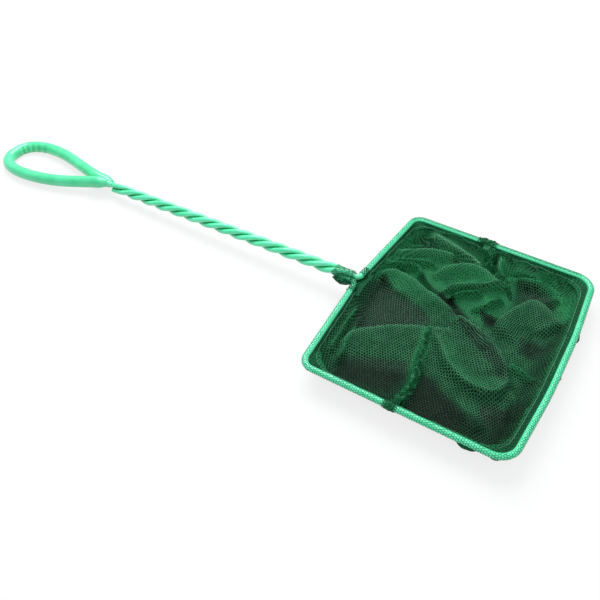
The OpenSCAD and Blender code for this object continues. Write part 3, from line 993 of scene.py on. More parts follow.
        def wrinkle(s: np.ndarray, angle: np.ndarray) -> np.ndarray:
            turn = np.interp(s + start, path.lengths, t)
            zone = (smooth((turn - low) / self.wrinkle_fade)
                    * smooth((high - turn) / self.wrinkle_fade))
            wave = np.sin(np.pi * self.wrinkles * (turn - first) / (last - first)) ** 2
            return zone * wave * np.maximum(np.cos(angle), 0.0) ** 1.5

        def radius(s: np.ndarray, angle: np.ndarray) -> np.ndarray:
            turn = np.interp(s + start, path.lengths, t)
            away = z.loop_l * np.sin(np.radians(turn / 2)) ** 2
            pinched = np.minimum(z.sleeve_r, self.closed_half(away) - z.strand_gap / 2)
            end = smooth(np.minimum(s, inside.length - s) / self.sleeve_end)
            return ((pinched - self.wrinkle_depth * wrinkle(s, angle))
                    * (1 - self.sleeve_end_share * (1 - end)))

        # Painted shade in the sleeve's wrinkles.
        return tube("grip_sleeve", inside, radius, *self.sleeve_cells,
                    groove=lambda s, angle: 0.75 * wrinkle(s, angle))


# Scene


@dataclass(frozen=True)
class Lamp:
    """Soft square lamp that faces the net's middle.

    Args:
        name: Name of the lamp.
        place: Its place, in metres.
        size: Length of its side, in metres.
        power: Its power, in watts.
        target: The place that it faces, in metres.
    """

    name: str
    place: tuple[float, float, float]
    size: float
    power: float
    target: tuple[float, float, float] = (0.05, 0.0, 0.0)

    def hang(self) -> None:
        """Puts the lamp in the scene."""
        data = bpy.data.lights.new(self.name, "AREA")
        data.size = self.size
        data.energy = self.power
        obj = shown(self.name, data)
        obj.location = self.place
        away = Vector(self.target) - Vector(self.place)
        obj.rotation_euler = away.to_track_quat("-Z", "Y").to_euler()


@dataclass(frozen=True)
class Studio:
    """Camera, lamps and floor of the photograph's plain white scene.

    Args:
        azimuth: Azimuth of the camera, in degrees.
        elevation: Elevation of the camera, in degrees.
        lens: Lens of the camera.
        sensor: Width of its sensor.
        place: Place of the camera in the net frame.
        near: Nearest distance that it sees, in metres.
        fill: Colour of the room's even light.
        fill_strength: Strength of that light.
        floor_half: Half the floor's side, in metres.
        floor_greys: Grey of the floor as it lights the net, and as the camera sees it.
        glow_share: Share of white in what the camera sees of the floor.
        lamps: The lamps.
    """

    azimuth: float = 31.501
    elevation: float = 45.356
    lens: float = 42.19
    sensor: float = 36.0
    place: tuple[float, float, float] = (125.448, -278.407, 305.821)
    near: float = 0.01
    fill: Colour = (0.95, 0.98, 1.0, 1.0)
    fill_strength: float = 0.45
    floor_half: float = 1.6
    floor_greys: Spot = (0.5, 0.86)
    glow_share: float = 0.78
    lamps: tuple[Lamp, ...] = (Lamp("key_lamp", (-0.25, 0.35, 0.75), 0.7, 8.8),
                               Lamp("fill_lamp", (0.55, -0.6, 0.6), 0.9, 2.4))

    def camera(self) -> None:
        """Sets the camera at the photograph's viewing angle."""
        data = bpy.data.cameras.new("camera")
        data.lens = self.lens
        data.sensor_width = self.sensor
        data.clip_start = self.near
        obj = shown("camera", data)
        obj.location = (Vector(self.place) + Vector((shift_x(), 0.0, 0.0))) * MM
        obj.rotation_euler = Euler((math.radians(90 - self.elevation), 0.0,
                                    math.radians(self.azimuth)))
        bpy.context.scene.camera = obj

    def world(self) -> None:
        """Fills the room with even light and gives the camera white."""
        world = bpy.data.worlds.new("room")
        bpy.context.scene.world = world
        n = Nodes(world)
        seen = n.add("ShaderNodeLightPath").outputs["Is Camera Ray"]
        fill = n.filled("ShaderNodeBackground", 0, Color=self.fill, Strength=self.fill_strength)
        back = n.filled("ShaderNodeBackground", 0, Color=WHITE, Strength=1.0)
        n.finish(n.mix_shaders(seen, fill, back))

    def floor(self) -> None:
        """Lays the pale floor, which keeps a faint shadow."""
        bm = bmesh.new()
        bmesh.ops.create_grid(bm, x_segments=1, y_segments=1, size=self.floor_half)
        mesh = bpy.data.meshes.new("floor")
        bm.to_mesh(mesh)
        bm.free()
        obj = shown("floor", mesh)
        n = Nodes(bpy.data.materials.new("pale_floor"))
        ray = n.add("ShaderNodeLightPath")
        seen = n.math("MAXIMUM", ray.outputs["Is Camera Ray"], ray.outputs["Is Glossy Ray"])
        unseen_grey, seen_grey = ((grey, grey, grey, 1.0) for grey in self.floor_greys)
        matt = n.filled("ShaderNodeBsdfDiffuse", 0, Color=n.mix(seen, unseen_grey, seen_grey))
        glow = n.filled("ShaderNodeEmission", 0, Color=WHITE, Strength=1.0)
        share = n.math("MULTIPLY", seen, self.glow_share)
        obj.data.materials.append(n.finish(n.mix_shaders(share, matt, glow)))

    def build(self) -> None:
        """Sets up the whole studio."""
        self.camera()
        self.world()
        self.floor()
        for lamp in self.lamps:
            lamp.hang()


# Hem


@dataclass
class Hem:
    """The net folded round the hoop's wire, with its flange and stitching.

    Args:
        sizes: Sizes of the frame.
        wrap_r: Radius of the net where it wraps the wire.
        wrap_turns: Angles at which the wrap leaves the wire below and above, in degrees.
        flange_w: Width of the flange from the wire's centre.
        flange_z: Height of its edge above the wire's centre.
        layer_gap: Distance between its two layers.
        neck_half: Half the length of the neck that the hem leaves free.
        seam_half: Half the length of a seam's cover.
        stitch_z: Height of the flange above the wire's centre where it is stitched.
        sag: How far its upper layer sags between the wire and the stitching.
        thread_in: How far inside the wire's centre the stitching runs where it is flat.
        thread_ins: The same on the near, left, far and right sides of the hoop.
        thread_z: Height of the thread above the wire's centre.
        thread_r: Radius of the thread.
        thread_dip: How far it dips between its stitches.
        stitch_l: Length of a stitch.
        inner_rs: Radii of the stitching's near left, near right and far corners.
        waves: Unevenness of the flange, by running length and distance inwards.
        wave_z: Height of that unevenness.
        wave_in: How far it moves the flange sideways.
        sink: How far the flange lies below its line.
        away: Direction in plan in which the hem's inner side turns out of the light.
        veil: How densely the net lies on the wire where the hem's inner side faces the light.
        flange_cover: How densely it lies on the flange.
        dims: Depth of the painted shade on the flange midway, and how much more where it is out
            of the light.
    """

    sizes: FrameSizes = SIZES
    wrap_r: float = 1.92
    wrap_turns: Spot = (-62.0, -292.0)
    flange_w: float = 4.9
    flange_z: float = -2.3
    layer_gap: float = 0.35
    neck_half: float = 8.0
    seam_half: float = 0.6
    stitch_z: float = -1.7
    sag: float = 0.5
    thread_in: float = 3.9
    thread_ins: tuple[float, float, float, float] = (2.75, 2.75, 4.5, 3.6)
    thread_z: float = -1.78
    thread_r: float = 0.15
    thread_dip: float = 0.14
    stitch_l: float = 3.2
    inner_rs: tuple[float, float, float] = (9.0, 14.0, 13.0)
    waves: Waves = Waves((0.16, 0.3), 3.7)
    wave_z: float = 1.2
    wave_in: float = 0.6
    sink: float = 0.25
    away: Spot = (-0.52, 0.85)
    veil: float = 0.42
    flange_cover: float = 0.8
    dims: Spot = (0.38, 0.26)

    def corner_list(self, side: Side | None, inner: bool = False) -> list:
        """Corners of the hem's run on one side of the neck, or of the far side for None.

        Args:
            side: Side of the neck, or None.
            inner: Whether the stitching's line is meant instead of the wire's.

        Returns:
            Places in plan, each with its corner's radius.
        """
        z = self.sizes
        near_in, left_in, far_in, right_in = self.thread_ins if inner else (0.0,) * 4
        near_rs = self.inner_rs[:2] if inner else (z.near_r,) * 2
        far_r = self.inner_rs[2] if inner else z.far_r
        left, right = z.half - left_in, z.half - right_in
        if side is not None:
            y = self.neck_half
            half, near_r = (left, near_rs[0]) if side is Side.LEFT else (right, near_rs[1])
            start = (near_in - z.neck_out * (1 - y / z.half), y * side.value)
            return [(start, 0.0), ((near_in, half * side.value), near_r),
                    ((z.seam_x - self.seam_half, half * side.value), 0.0)]
        bow = z.half * z.bow_share
        return [((z.seam_x + self.seam_half, left), 0.0),
                ((z.hoop_l - far_in, left), far_r),
                ((z.hoop_l + z.far_bow - far_in, bow), z.bow_r),
                ((z.hoop_l + z.far_bow - far_in, -bow), z.bow_r),
                ((z.hoop_l - far_in, -right), far_r),
                ((z.seam_x + self.seam_half, -right), 0.0)]

    def profile(self) -> np.ndarray:
        """Line of the folded net in section: inward distance and height at equal steps."""
        arc = np.radians(np.linspace(*self.wrap_turns, 40))
        wrap = np.column_stack([self.wrap_r * np.cos(arc), self.wrap_r * np.sin(arc)])
        fall = np.linspace(0.0, 1.0, 12)[1:, None]
        stitch = np.array([[self.thread_in, self.stitch_z]])
        edge = np.array([[self.flange_w, self.flange_z]])
        above = wrap[-1:] + (stitch - wrap[-1:]) * fall
        above[:, 1] -= self.sag * np.sin(np.pi * fall[:, 0])
        below = wrap[:1] + (stitch - wrap[:1]) * fall[::-1]
        lower = np.vstack([edge, below]) - [[0.0, self.layer_gap]]
        line = Path(np.vstack([lower, wrap, above, edge]))
        return line.at(np.linspace(0.0, line.length, 61))

    def run(self, name: str, side: Side | None, material: bpy.types.Material,
            node: str) -> None:
        """Makes one run of the hem.

        Args:
            name: Name of the piece.
            side: Side of the neck, or None for the far side.
            material: Its material.
            node: CAD node that it replaces.
        """
        z = self.sizes
        path = rounded_path(self.corner_list(side), z.hoop_z)
        inner = rounded_path(self.corner_list(side, inner=True), z.hoop_z)
        line = self.profile()
        width = Path(line).length
        sign = 1.0 if side is Side.RIGHT else -1.0
        kept: dict[str, np.ndarray] = {}

        def place(u: np.ndarray, v: np.ndarray) -> np.ndarray:
            s = v * path.length
            inward = sign * np.cross(UP, path.heading(s, 0.8))
            share, marks = u * (len(line) - 1), np.arange(len(line))
            a, b = np.interp(share, marks, line[:, 0]), np.interp(share, marks, line[:, 1])
            kept["inward"], kept["away"] = a, inward[:, :2] @ np.array(self.away)
            flange = smooth((a - 1.6) / 3.0)
            waves = self.waves.at(s, a)
            b = b + flange * (waves * self.wave_z - self.sink)
            a = a + flange * self.wave_in * np.sin(s * 0.5) * waves
            reach = np.maximum(a - self.wrap_r, 0.0) / (self.thread_in - self.wrap_r)
            root = path.at(s) + np.minimum(a, self.wrap_r)[:, None] * inward
            root = root + (inner.at(v * inner.length) - root) * reach[:, None]
            return root + b[:, None] * UP

        obj = grid_object(name, 60, int(path.length / 0.9), place, (width, path.length))
        veiled = self.veil * smooth((-kept["away"] - 0.6) / 0.2)
        outside = smooth((kept["inward"] - 1.0) / 1.4)
        # Painted shade on the flange midway, darker where the hem's inner side is out of the
        # light.
        midway = np.exp(-np.abs((kept["inward"] - 3.1) / 1.5) ** 3)
        set_attributes(obj, cover=veiled + (self.flange_cover - veiled) * outside,
                       dim=(self.dims[0] + self.dims[1] * kept["away"]) * midway)
        finish_piece(obj, material, Slot.NET, node)

    def stitching(self, name: str, side: Side | None, material: bpy.types.Material,
                  node: str) -> None:
        """Makes the stitching thread of one run, which dips between its stitches.

        Args:
            name: Name of the piece.
            side: Side of the neck, or None for the far side.
            material: Its material.
            node: CAD node that it replaces.
        """
        z = self.sizes
        path = rounded_path(self.corner_list(side, inner=True), z.hoop_z + self.thread_z)
        outer = rounded_path(self.corner_list(side), z.hoop_z)
        s = np.arange(0.0, path.length, 0.35)
        points = path.at(s)
        points[:, 2] += self.thread_dip * np.sin(s * TAU / self.stitch_l)
        points[:, 2] += self.wave_z * self.waves.at(s * outer.length / path.length,
                                                    np.full_like(s, self.thread_in))
        obj = tube(name, Path(points), lambda q, angle: np.full_like(q, self.thread_r), 8, 0.5)
        finish_piece(obj, material, Slot.THREAD, node)


# Bag


def soft_line(points: tuple[Spot, ...], steps: int = 8) -> np.ndarray:
    """Runs a smooth line through a few places.

    Args:
        points: The places, in the net frame.
        steps: Points to make between two places.

    Returns:
        The line's points.
    """
    p = np.array(points, float)
    p = np.vstack([2 * p[0] - p[1], p, 2 * p[-1] - p[-2]])
    t = np.linspace(0.0, 1.0, steps, endpoint=False)[:, None]
    out = [0.5 * (2 * p[i] + (p[i + 1] - p[i - 1]) * t
                  + (2 * p[i - 1] - 5 * p[i] + 4 * p[i + 1] - p[i + 2]) * t ** 2
                  + (3 * p[i] - p[i - 1] - 3 * p[i + 1] + p[i + 2]) * t ** 3)
           for i in range(1, len(p) - 2)]
    return np.vstack(out + [p[-2:-1]])


def nearest(line: np.ndarray, places: np.ndarray) -> tuple[np.ndarray, np.ndarray, np.ndarray]:
    """Finds how places lie beside a line.

    Args:
        line: Points of the line.
        places: Places to look at, one row each.

    Returns:
        Signed distance, positive on the left; share of the line's length at the nearest
        point; and the unit direction to the left there.
    """
    best = np.full(len(places), 1e9)
    signed = np.zeros(len(places))
    share = np.zeros(len(places))
    left = np.zeros((len(places), 2))
    steps = np.linalg.norm(np.diff(line, axis=0), axis=1)
    total = steps.sum()
    run = 0.0
    for i, step in enumerate(steps):
        a, d = line[i], (line[i + 1] - line[i]) / step
        along = np.clip((places - a) @ d, 0.0, step)
        off = places - a - along[:, None] * d
        distance = np.linalg.norm(off, axis=1)
        closer = distance < best
        side = np.where(d[0] * off[:, 1] - d[1] * off[:, 0] >= 0, 1.0, -1.0)
        best = np.where(closer, distance, best)
        signed = np.where(closer, distance * side, signed)
        share = np.where(closer, (run + along) / total, share)
        left[closer] = (-d[1], d[0])
        run += step
    return signed, share, left


@dataclass(frozen=True)
class Fold:
    """One fold of the collapsed bag.

    Args:
        line: Places along its crest, in the net frame.
        height: Height of the crest above the bag's floor.
        left: How far the fold reaches on the left of its line.
        right: How far it reaches on the right.
        lean: How far the crest leans to the left, or to the right where negative.
        sharp: Form of the crest: 1 is sharp and 2 is round.
        cover: How densely the net lies on it, from 0 to 1.
        ends: Share of the line over which the fold rises at its start and its end.
        light: Strength of the painted highlight on its crest, from 0 to 1.
        light_half: Half the width of that light.
        light_ends: Share of the line over which the light fades at each end.
        stub: Share of its height that it has at its very ends.
    """

    line: tuple[Spot, ...]
    height: float
    left: float
    right: float
    lean: float = 0.0
    sharp: float = 1.6
    cover: float = 0.85
    ends: Spot = (0.2, 0.2)
    light: float = 0.0
    light_half: float = 1.5
    light_ends: float = 0.12
    stub: float = 0.15

    def crest(self, places: np.ndarray) -> np.ndarray:
        """How much of the light on the fold's crest places have."""
        signed, share, _ = nearest(soft_line(self.line), places)
        return (self.light * np.exp(-np.abs(signed / self.light_half) ** 1.4)
                * smooth(share / self.light_ends) * smooth((1 - share) / self.light_ends))

    def lie(self, places: np.ndarray) -> tuple[np.ndarray, np.ndarray, np.ndarray]:
        """Works out the fold's height, lean and cover at places."""
        signed, share, left = nearest(soft_line(self.line), places)
        reach = np.where(signed > 0, self.left, self.right)
        form = np.exp(-np.abs(signed / reach) ** self.sharp)
        for end, part in zip((share, 1 - share), self.ends):
            if part > 0:
                form = form * smooth(end / part + self.stub)
        lean = left * (self.lean * form ** 1.5)[:, None]
        return self.height * form, lean, self.cover * np.sqrt(form)


@dataclass(frozen=True)
class Patch:
    """An area of the net, in plan, with a soft edge.

    Args:
        outline: Its corners, in the net frame.
        edge: Width of its soft edge.
        depth: Its value well inside, from 0 to 1.
    """

    outline: tuple[Spot, ...]
    edge: float = 4.0
    depth: float = 1.0

    def share(self, places: np.ndarray) -> np.ndarray:
        """Value of the area at places, which is 0 well outside."""
        corners = np.array(self.outline + self.outline[:1], float)
        signed, _, _ = nearest(corners, places)
        inside = np.zeros(len(places), bool)
        for a, b in zip(corners[:-1], corners[1:]):
            crosses = (a[1] > places[:, 1]) != (b[1] > places[:, 1])
            slope = (b[0] - a[0]) / (b[1] - a[1] if b[1] != a[1] else 1e-9)
            inside ^= crosses & (places[:, 0] < slope * (places[:, 1] - a[1]) + a[0])
        away = np.where(inside, -np.abs(signed), np.abs(signed))
        return self.depth * (1 - smooth(away / self.edge + 0.5))


def left_over(patches: tuple[Patch, ...], places: np.ndarray) -> np.ndarray:
    """What areas leave of 1 at places, when each takes its share of the rest."""
    return np.prod([1 - patch.share(places) for patch in patches], axis=0)


def strongest(patches: tuple[Patch, ...], places: np.ndarray) -> np.ndarray:
    """Greatest value that any of the areas has at places."""
    return np.max([patch.share(places) for patch in patches], axis=0)


# A number after a fold's two end shares is the strength of the painted highlight on its crest.
BAG_FOLDS = (
    # From the neck along the near panel, over the dark pocket
    Fold(((2, 15), (6, 23), (14, 25), (27, 21), (38, 17), (50, 12), (57, 6), (61, -1)),
         8.5, 1.8, 8.0, 0.4, 1.4, 0.55, (0.05, 0.1), 0.35),
    # Ridge right behind it
    Fold(((1, 28), (8, 33), (15, 37), (20, 36), (24, 31), (33, 24), (44, 17)),
         8.2, 2.4, 1.6, 0.0, 1.4, 0.85, (0.05, 0.15)),
    # Top edge of the flap in front of the pocket
    Fold(((8, -46), (9, -38), (12, -30), (20, -22), (28, -16), (37, -11), (47, -6), (58, 0)),
         5.5, 1.8, 15.0, 1.0, 1.5, 0.25, (0.15, 0.1), 0.45),
    # Lower edge of the big lobe
    Fold(((47, -6), (57, -14), (66, -24), (75, -29), (85, -32), (94, -29), (97, -21), (98, -12)),
         6.5, 15.0, 4.0, -0.8, 1.7, 0.55, (0.15, 0.2), 0.22),
    # Crest behind the lobe
    Fold(((54, 9), (66, 6), (78, 1), (88, -7), (95, -15), (98, -22)),
         9.5, 3.0, 13.0, 0.3, 1.5, 0.55, (0.1, 0.25), 0.35),
    # Arch on the far panel
    Fold(((77, 9), (80, 20), (84, 31), (89, 41), (93, 43), (101, 39), (107, 35), (112, 30)),
         8.8, 2.0, 14.0, 1.0, 1.4, 0.42, (0.15, 0.1), 0.4),
    # Rolled folds in the middle
    Fold(((39, 24), (44, 31), (52, 37), (58, 41), (68, 48), (76, 49)),
         9.5, 2.2, 2.6, -1.0, 1.5, 1.0, light=0.35),
    Fold(((46, 19), (49, 25), (52, 29), (57, 33), (64, 36)), 8.6, 2.0, 2.0, -0.6, 1.4, 1.0),
    Fold(((60, 18), (66, 24), (70, 31), (76, 38)), 8.0, 3.0, 3.0, 0.0, 1.6, 0.8),
    # Arch towards the left side
    Fold(((30, 34), (35, 43), (43, 50), (50, 54), (57, 53), (64, 49), (72, 46)),
         9.0, 2.6, 6.0, 0.6, 1.4, 0.85, light=0.35),
    # Wall along the left side, down to its lit edge
    Fold(((12, 68), (20, 67), (32, 64.5), (43, 62), (50, 59), (55, 56)),
         8.5, 5.0, 1.8, -0.4, 1.5, 1.0, (0.2, 0.1), 0.7),
    # Lit fold below it
    Fold(((2, 40), (9, 48), (18, 54), (29, 57), (40, 58)), 7.8, 1.8, 4.0, 0.4, 1.5, 0.95,
         (0.05, 0.2), 0.4),
    # Small folds behind the neck
    Fold(((4, 34), (11, 41), (20, 45), (30, 46)), 6.5, 1.8, 2.4, 0.0, 1.5, 0.9, (0.05, 0.3)),
    Fold(((6, 52), (13, 57), (20, 60)), 6.5, 1.6, 2.0, 0.0, 1.5, 0.8, (0.1, 0.4)),
    # Rounded fold from the left seam's end into the far corner
    Fold(((61, 70), (63, 61), (68, 53), (75, 48), (82, 40)), 8.8, 4.5, 2.4, -0.6, 1.7, 0.95,
         (0.0, 0.3), 0.35),
    Fold(((52, 70), (57, 62), (62, 56)), 7.5, 1.5, 1.8, 0.0, 1.5, 1.0, (0.0, 0.3)),
    # Dense fold into the far left corner
    Fold(((70, 53), (80, 59), (91, 62), (101, 61)), 7.8, 2.4, 5.0, 0.4, 1.5, 0.9, (0.1, 0.5)),
    Fold(((97, 47), (100, 53), (104, 58)), 5.5, 3.0, 3.5, 0.0, 1.6, 0.7, (0.3, 0.4)),
    Fold(((107, 34), (108, 45), (106, 54)), 3.5, 4.0, 4.0, 0.0, 1.6, 0.85, (0.3, 0.4)),
    Fold(((70, 65), (80, 65), (94, 65)), 6.0, 3.0, 3.0, 0.0, 1.6, 0.9, (0.2, 0.5)),
    Fold(((82, 67), (97, 67), (107, 61), (112, 48), (113, 36)), 1.5, 7.0, 7.0, 0.0, 1.8, 1.0,
         (0.1, 0.1)),
    # Soft folds towards the far right corner
    Fold(((93, -6), (104, -9), (112, -14)), 4.8, 3.0, 3.0, 0.0, 1.5, 0.75),
    Fold(((100, -22), (106, -30), (108, -44)), 3.5, 3.0, 4.0, 0.0, 1.6, 0.5),
    Fold(((72, -46), (86, -51), (98, -56)), 3.0, 4.0, 4.0, 0.0, 1.8, 0.45),
    # Slack along the handle side
    Fold(((12, -58), (11, -44), (9, -28), (8, -14)), 5.5, 2.0, 2.5, 0.0, 1.5, 0.7, (0.2, 0.2)),
    Fold(((6, -54), (5, -40), (4, -26), (4, -12)), 8.0, 1.4, 1.6, 0.0, 1.4, 0.7, (0.2, 0.2)),
    # Ridge along the right seam
    Fold(((54, -62), (54, -52), (53, -42), (50, -30), (48, -18), (46, -6)),
         3.4, 3.5, 3.5, 0.0, 1.6, 0.9, (0.05, 0.1)),
)

# Where one open layer of net lies over the dark below
OPEN_PATCHES = (
    Patch(((2, 12), (6, 18), (17, 13), (30, 9), (42, 4), (43, 0), (30, -8), (18, -17),
           (8, -28), (4, -14)), 4.0, 1.0),
    Patch(((14, -47), (28, -40), (45, -33), (47, -43), (44, -56), (16, -60)), 5.0, 0.9),
    Patch(((58, -37), (66, -41), (78, -46), (87, -51), (86, -62), (58, -62)), 6.0, 0.95),
    Patch(((91, -39), (99, -35), (105, -38), (102, -48), (93, -48)), 4.0, 0.9),
    # Stretched net of the stripe
    Patch(((50, 16), (60, 13), (71, 7), (83, -3), (94, -14), (95, -21), (86, -14), (75, -6),
           (63, 2), (51, 10)), 4.0, 0.95),
    Patch(((76, 57), (88, 59), (100, 56), (100, 48), (90, 46), (82, 47)), 6.0, 0.8),
    Patch(((95, 15), (102, 18), (107, 14), (104, 6), (97, 6)), 7.0, 0.85),
    # Grey patches near the left side
    Patch(((6, 62), (9, 67), (17, 67), (25, 62), (22, 56), (13, 56)), 4.0, 0.45),
    Patch(((34, 57), (39, 60), (45, 56), (39, 52)), 2.5, 0.75),
    Patch(((24, 30), (33, 28), (44, 24), (53, 20), (50, 16), (38, 21)), 4.0, 0.9),
    Patch(((66, 22), (74, 24), (82, 22), (78, 16), (70, 17)), 3.0, 0.95),
)

# Painted shade, where the net lies deep under the hem and between the folds
SHADE_PATCHES = (
    # Along the right side and round the far right corner
    Patch(((10, -66), (50, -67), (108, -66), (112, -30), (104, -34), (98, -48), (84, -50),
           (66, -36), (56, -32), (46, -40), (12, -50)), 10.0, 0.65),
    # Under the hem along the far side
    Patch(((104, -60), (113, -55), (113, 40), (107, 20), (104, -20)), 6.0, 0.5),
    Patch(((98, 68), (108, 68), (114, 60), (114, 48), (109, 58)), 6.0, 0.3),
    # Between the folds in the middle
    Patch(((24, 30), (34, 28), (46, 24), (55, 20), (62, 14), (55, 12), (42, 18)), 5.0, 0.8),
    Patch(((69, 22), (76, 22), (81, 18), (78, 13), (72, 14)), 5.0, 0.7),
    # Crease beside the left seam's gathers
    Patch(((55, 69), (59, 69), (62, 61), (67, 54), (65, 52), (59, 58)), 2.5, 0.75),
    # Wall along the left side
    Patch(((8, 70), (50, 70), (50, 61), (32, 66), (14, 69)), 4.0, 0.35),
    Patch(((64, 70), (104, 70), (104, 66), (70, 64)), 4.0, 0.3),
    # Hollow in front of the arch
    Patch(((95, 15), (102, 18), (107, 14), (104, 6), (97, 6)), 5.0, 0.4),
    # Below the lobe's edge
    Patch(((64, -30), (74, -38), (86, -41), (98, -36), (104, -22), (101, -20), (96, -33),
           (84, -36), (72, -34)), 5.0, 0.12),
)

# Where the net is pulled long
PULLED_PATCHES = (
    Patch(((47, 17), (54, 17), (63, 12), (74, 4), (82, -4), (79, -8), (73, -4), (63, 2),
           (54, 8), (48, 12)), 4.5),
)

# Where the table's light comes through the lower layers
PALE_PATCHES = (
    Patch(((6, 62), (9, 68), (17, 68), (25, 62), (22, 55), (13, 55)), 6.0, 0.15),
    Patch(((33, 58), (38, 63), (46, 58), (39, 53)), 5.0, 0.25),
)


@dataclass
class Bag:
    """The net bag, which lies collapsed in folds inside the hoop.

    Args:
        sizes: Sizes of the frame.
        folds: Its folds.
        patches: Areas where one open layer lies.
        dims: Areas of painted shade, where the net lies deep.
        pales: Areas where the table's light comes through the lower layers.
        pulls: Areas where the net is pulled long.
        rim_insets: How far inside the wire's centre its rim hangs from the hem, on the near,
            left, far and right sides.
        rim_z: Height of the rim.
        corner_rs: Radii of the rim's near and far corners.
        drop_w: Width over which the net falls from the rim.
        drop_waves: Unevenness of that width, as a share of it.
        floor_z: Height of the folded cloth where it lies flat.
        mound: Middle of the mound on which the folds lie.
        mound_r: Reach of the mound.
        mound_z: Height of the mound.
        blend: How sharply one fold gives way to the next.
        fine: Small unevenness of the folds.
        loose_cover: How densely the net lies between the folds, and how much more it does
            where they crowd.
        crowd: Where the crowd of folds ends along x, and where it starts along y.
        crowd_edges: Widths of its soft edges there.
        cells: Cells of the grid along and across the handle.
        uv_calm: Rounds of smoothing that take the shear out of the laid cloth.
        panel_flat: Width and length of a panel as it was cut; not used.
        seam_bow: Where the line between the panels bows away from the handle and how widely,
            as shares of the half width, and how far, as a share of the hoop's length.
        under_inset: How far inside the wire's centre the lower layers hang.
        under_rs: Radii of their near and far corners.
        under_w: Width over which they fall.
        under_z: Mean height and least height of the lower layers.
        under_waves: Unevenness of that height.
        under_gap: How far they stay below the folds, and how much less at the rim.
        under_cells: Cells of their grid along and across the handle.
        under_uv: What their net measures as it lies.
        under_flat: Width and length to which they were cut; not used.
    """

    sizes: FrameSizes = SIZES
    folds: tuple[Fold, ...] = BAG_FOLDS
    patches: tuple[Patch, ...] = OPEN_PATCHES
    dims: tuple[Patch, ...] = SHADE_PATCHES
    pales: tuple[Patch, ...] = PALE_PATCHES
    pulls: tuple[Patch, ...] = PULLED_PATCHES
    rim_insets: tuple[float, float, float, float] = (3.0, 3.0, 4.4, 3.8)
    rim_z: float = 11.1
    corner_rs: Spot = (14.0, 14.0)
    drop_w: float = 10.0
    drop_waves: Waves = Waves((0.06, 0.06), 1.3, 0.45)
    floor_z: float = 1.3
    mound: Spot = (62.0, 26.0)
    mound_r: float = 34.0
    mound_z: float = 3.2
    blend: float = 3.0
    fine: tuple[Waves, Waves] = (Waves((0.11, 0.11), 5.1, 0.9), Waves((0.3, 0.22), 9.4, 0.35))
    loose_cover: Spot = (0.45, 0.4)
    crowd: Spot = (86.0, 6.0)
    crowd_edges: Spot = (16.0, 22.0)
    cells: tuple[int, int] = (200, 250)
    uv_calm: int = 160
    panel_flat: Spot = (135.0, 88.0)
    seam_bow: tuple[float, float, float] = (0.58, 0.26, 0.26)
    under_inset: float = 2.4
    under_rs: Spot = (6.0, 9.0)
    under_w: float = 12.0
    under_z: Spot = (0.6, 0.25)
    under_waves: Waves = Waves((0.08, 0.08), 7.7, 0.25)
    under_gap: Spot = (1.7, 0.9)
    under_cells: tuple[int, int] = (110, 130)
    under_uv: Spot = (118.0, 141.0)
    under_flat: Spot = (130.0, 150.0)

    @property
    def rim_ys(self) -> Spot:
        """Middle and half width of the rim across the handle."""
        _, left, _, right = self.rim_insets
        return (right - left) / 2, self.sizes.half - (left + right) / 2

    def rim_limits(self, y: np.ndarray) -> tuple[np.ndarray, np.ndarray]:
        """Where the rim's near and far sides run at y."""
        z = self.sizes
        reach = np.abs(y)
        middle, rim_y = self.rim_ys

        def corner(radius: float) -> np.ndarray:
            past = np.maximum(np.abs(y - middle) - (rim_y - radius), 0.0)
            return radius - np.sqrt(np.maximum(radius ** 2 - past ** 2, 0.0))

        bow = z.far_bow * np.minimum(1.0, (1 - reach / z.half) / (1 - z.bow_share))
        near = self.rim_insets[0] - z.neck_out * (1 - reach / z.half) + corner(self.corner_rs[0])
        far = z.hoop_l - self.rim_insets[2] + bow - corner(self.corner_rs[1])
        return near, far

    def plan(self, u: np.ndarray, v: np.ndarray) -> np.ndarray:
        """Place in plan of the shares along and across the handle."""
        middle, rim_y = self.rim_ys
        radius = max(self.corner_rs)
        straight = rim_y - radius
        run = np.abs(2 * v - 1) * (straight + radius * math.pi / 2)
        turn = np.clip((run - straight) / radius, 0.0, math.pi / 2)
        y = np.where(run < straight, run, straight + radius * np.sin(turn))
        y = middle + y * np.sign(2 * v - 1)
        near, far = self.rim_limits(y)
        return np.column_stack([near + (far - near) * u, y])

    def inside(self, places: np.ndarray) -> np.ndarray:
        """How far inside the rim places lie."""
        near, far = self.rim_limits(places[:, 1])
        middle, rim_y = self.rim_ys
        return np.minimum(np.minimum(places[:, 0] - near, far - places[:, 0]),
                          rim_y - np.abs(places[:, 1] - middle))

    def wall(self, places: np.ndarray) -> np.ndarray:
        """Share of the rim's height that the net still has at places."""
        width = self.drop_w * (1 + self.drop_waves.at(*places.T))
        return (1 - np.clip(self.inside(places) / width, 0, 1)) ** 1.7

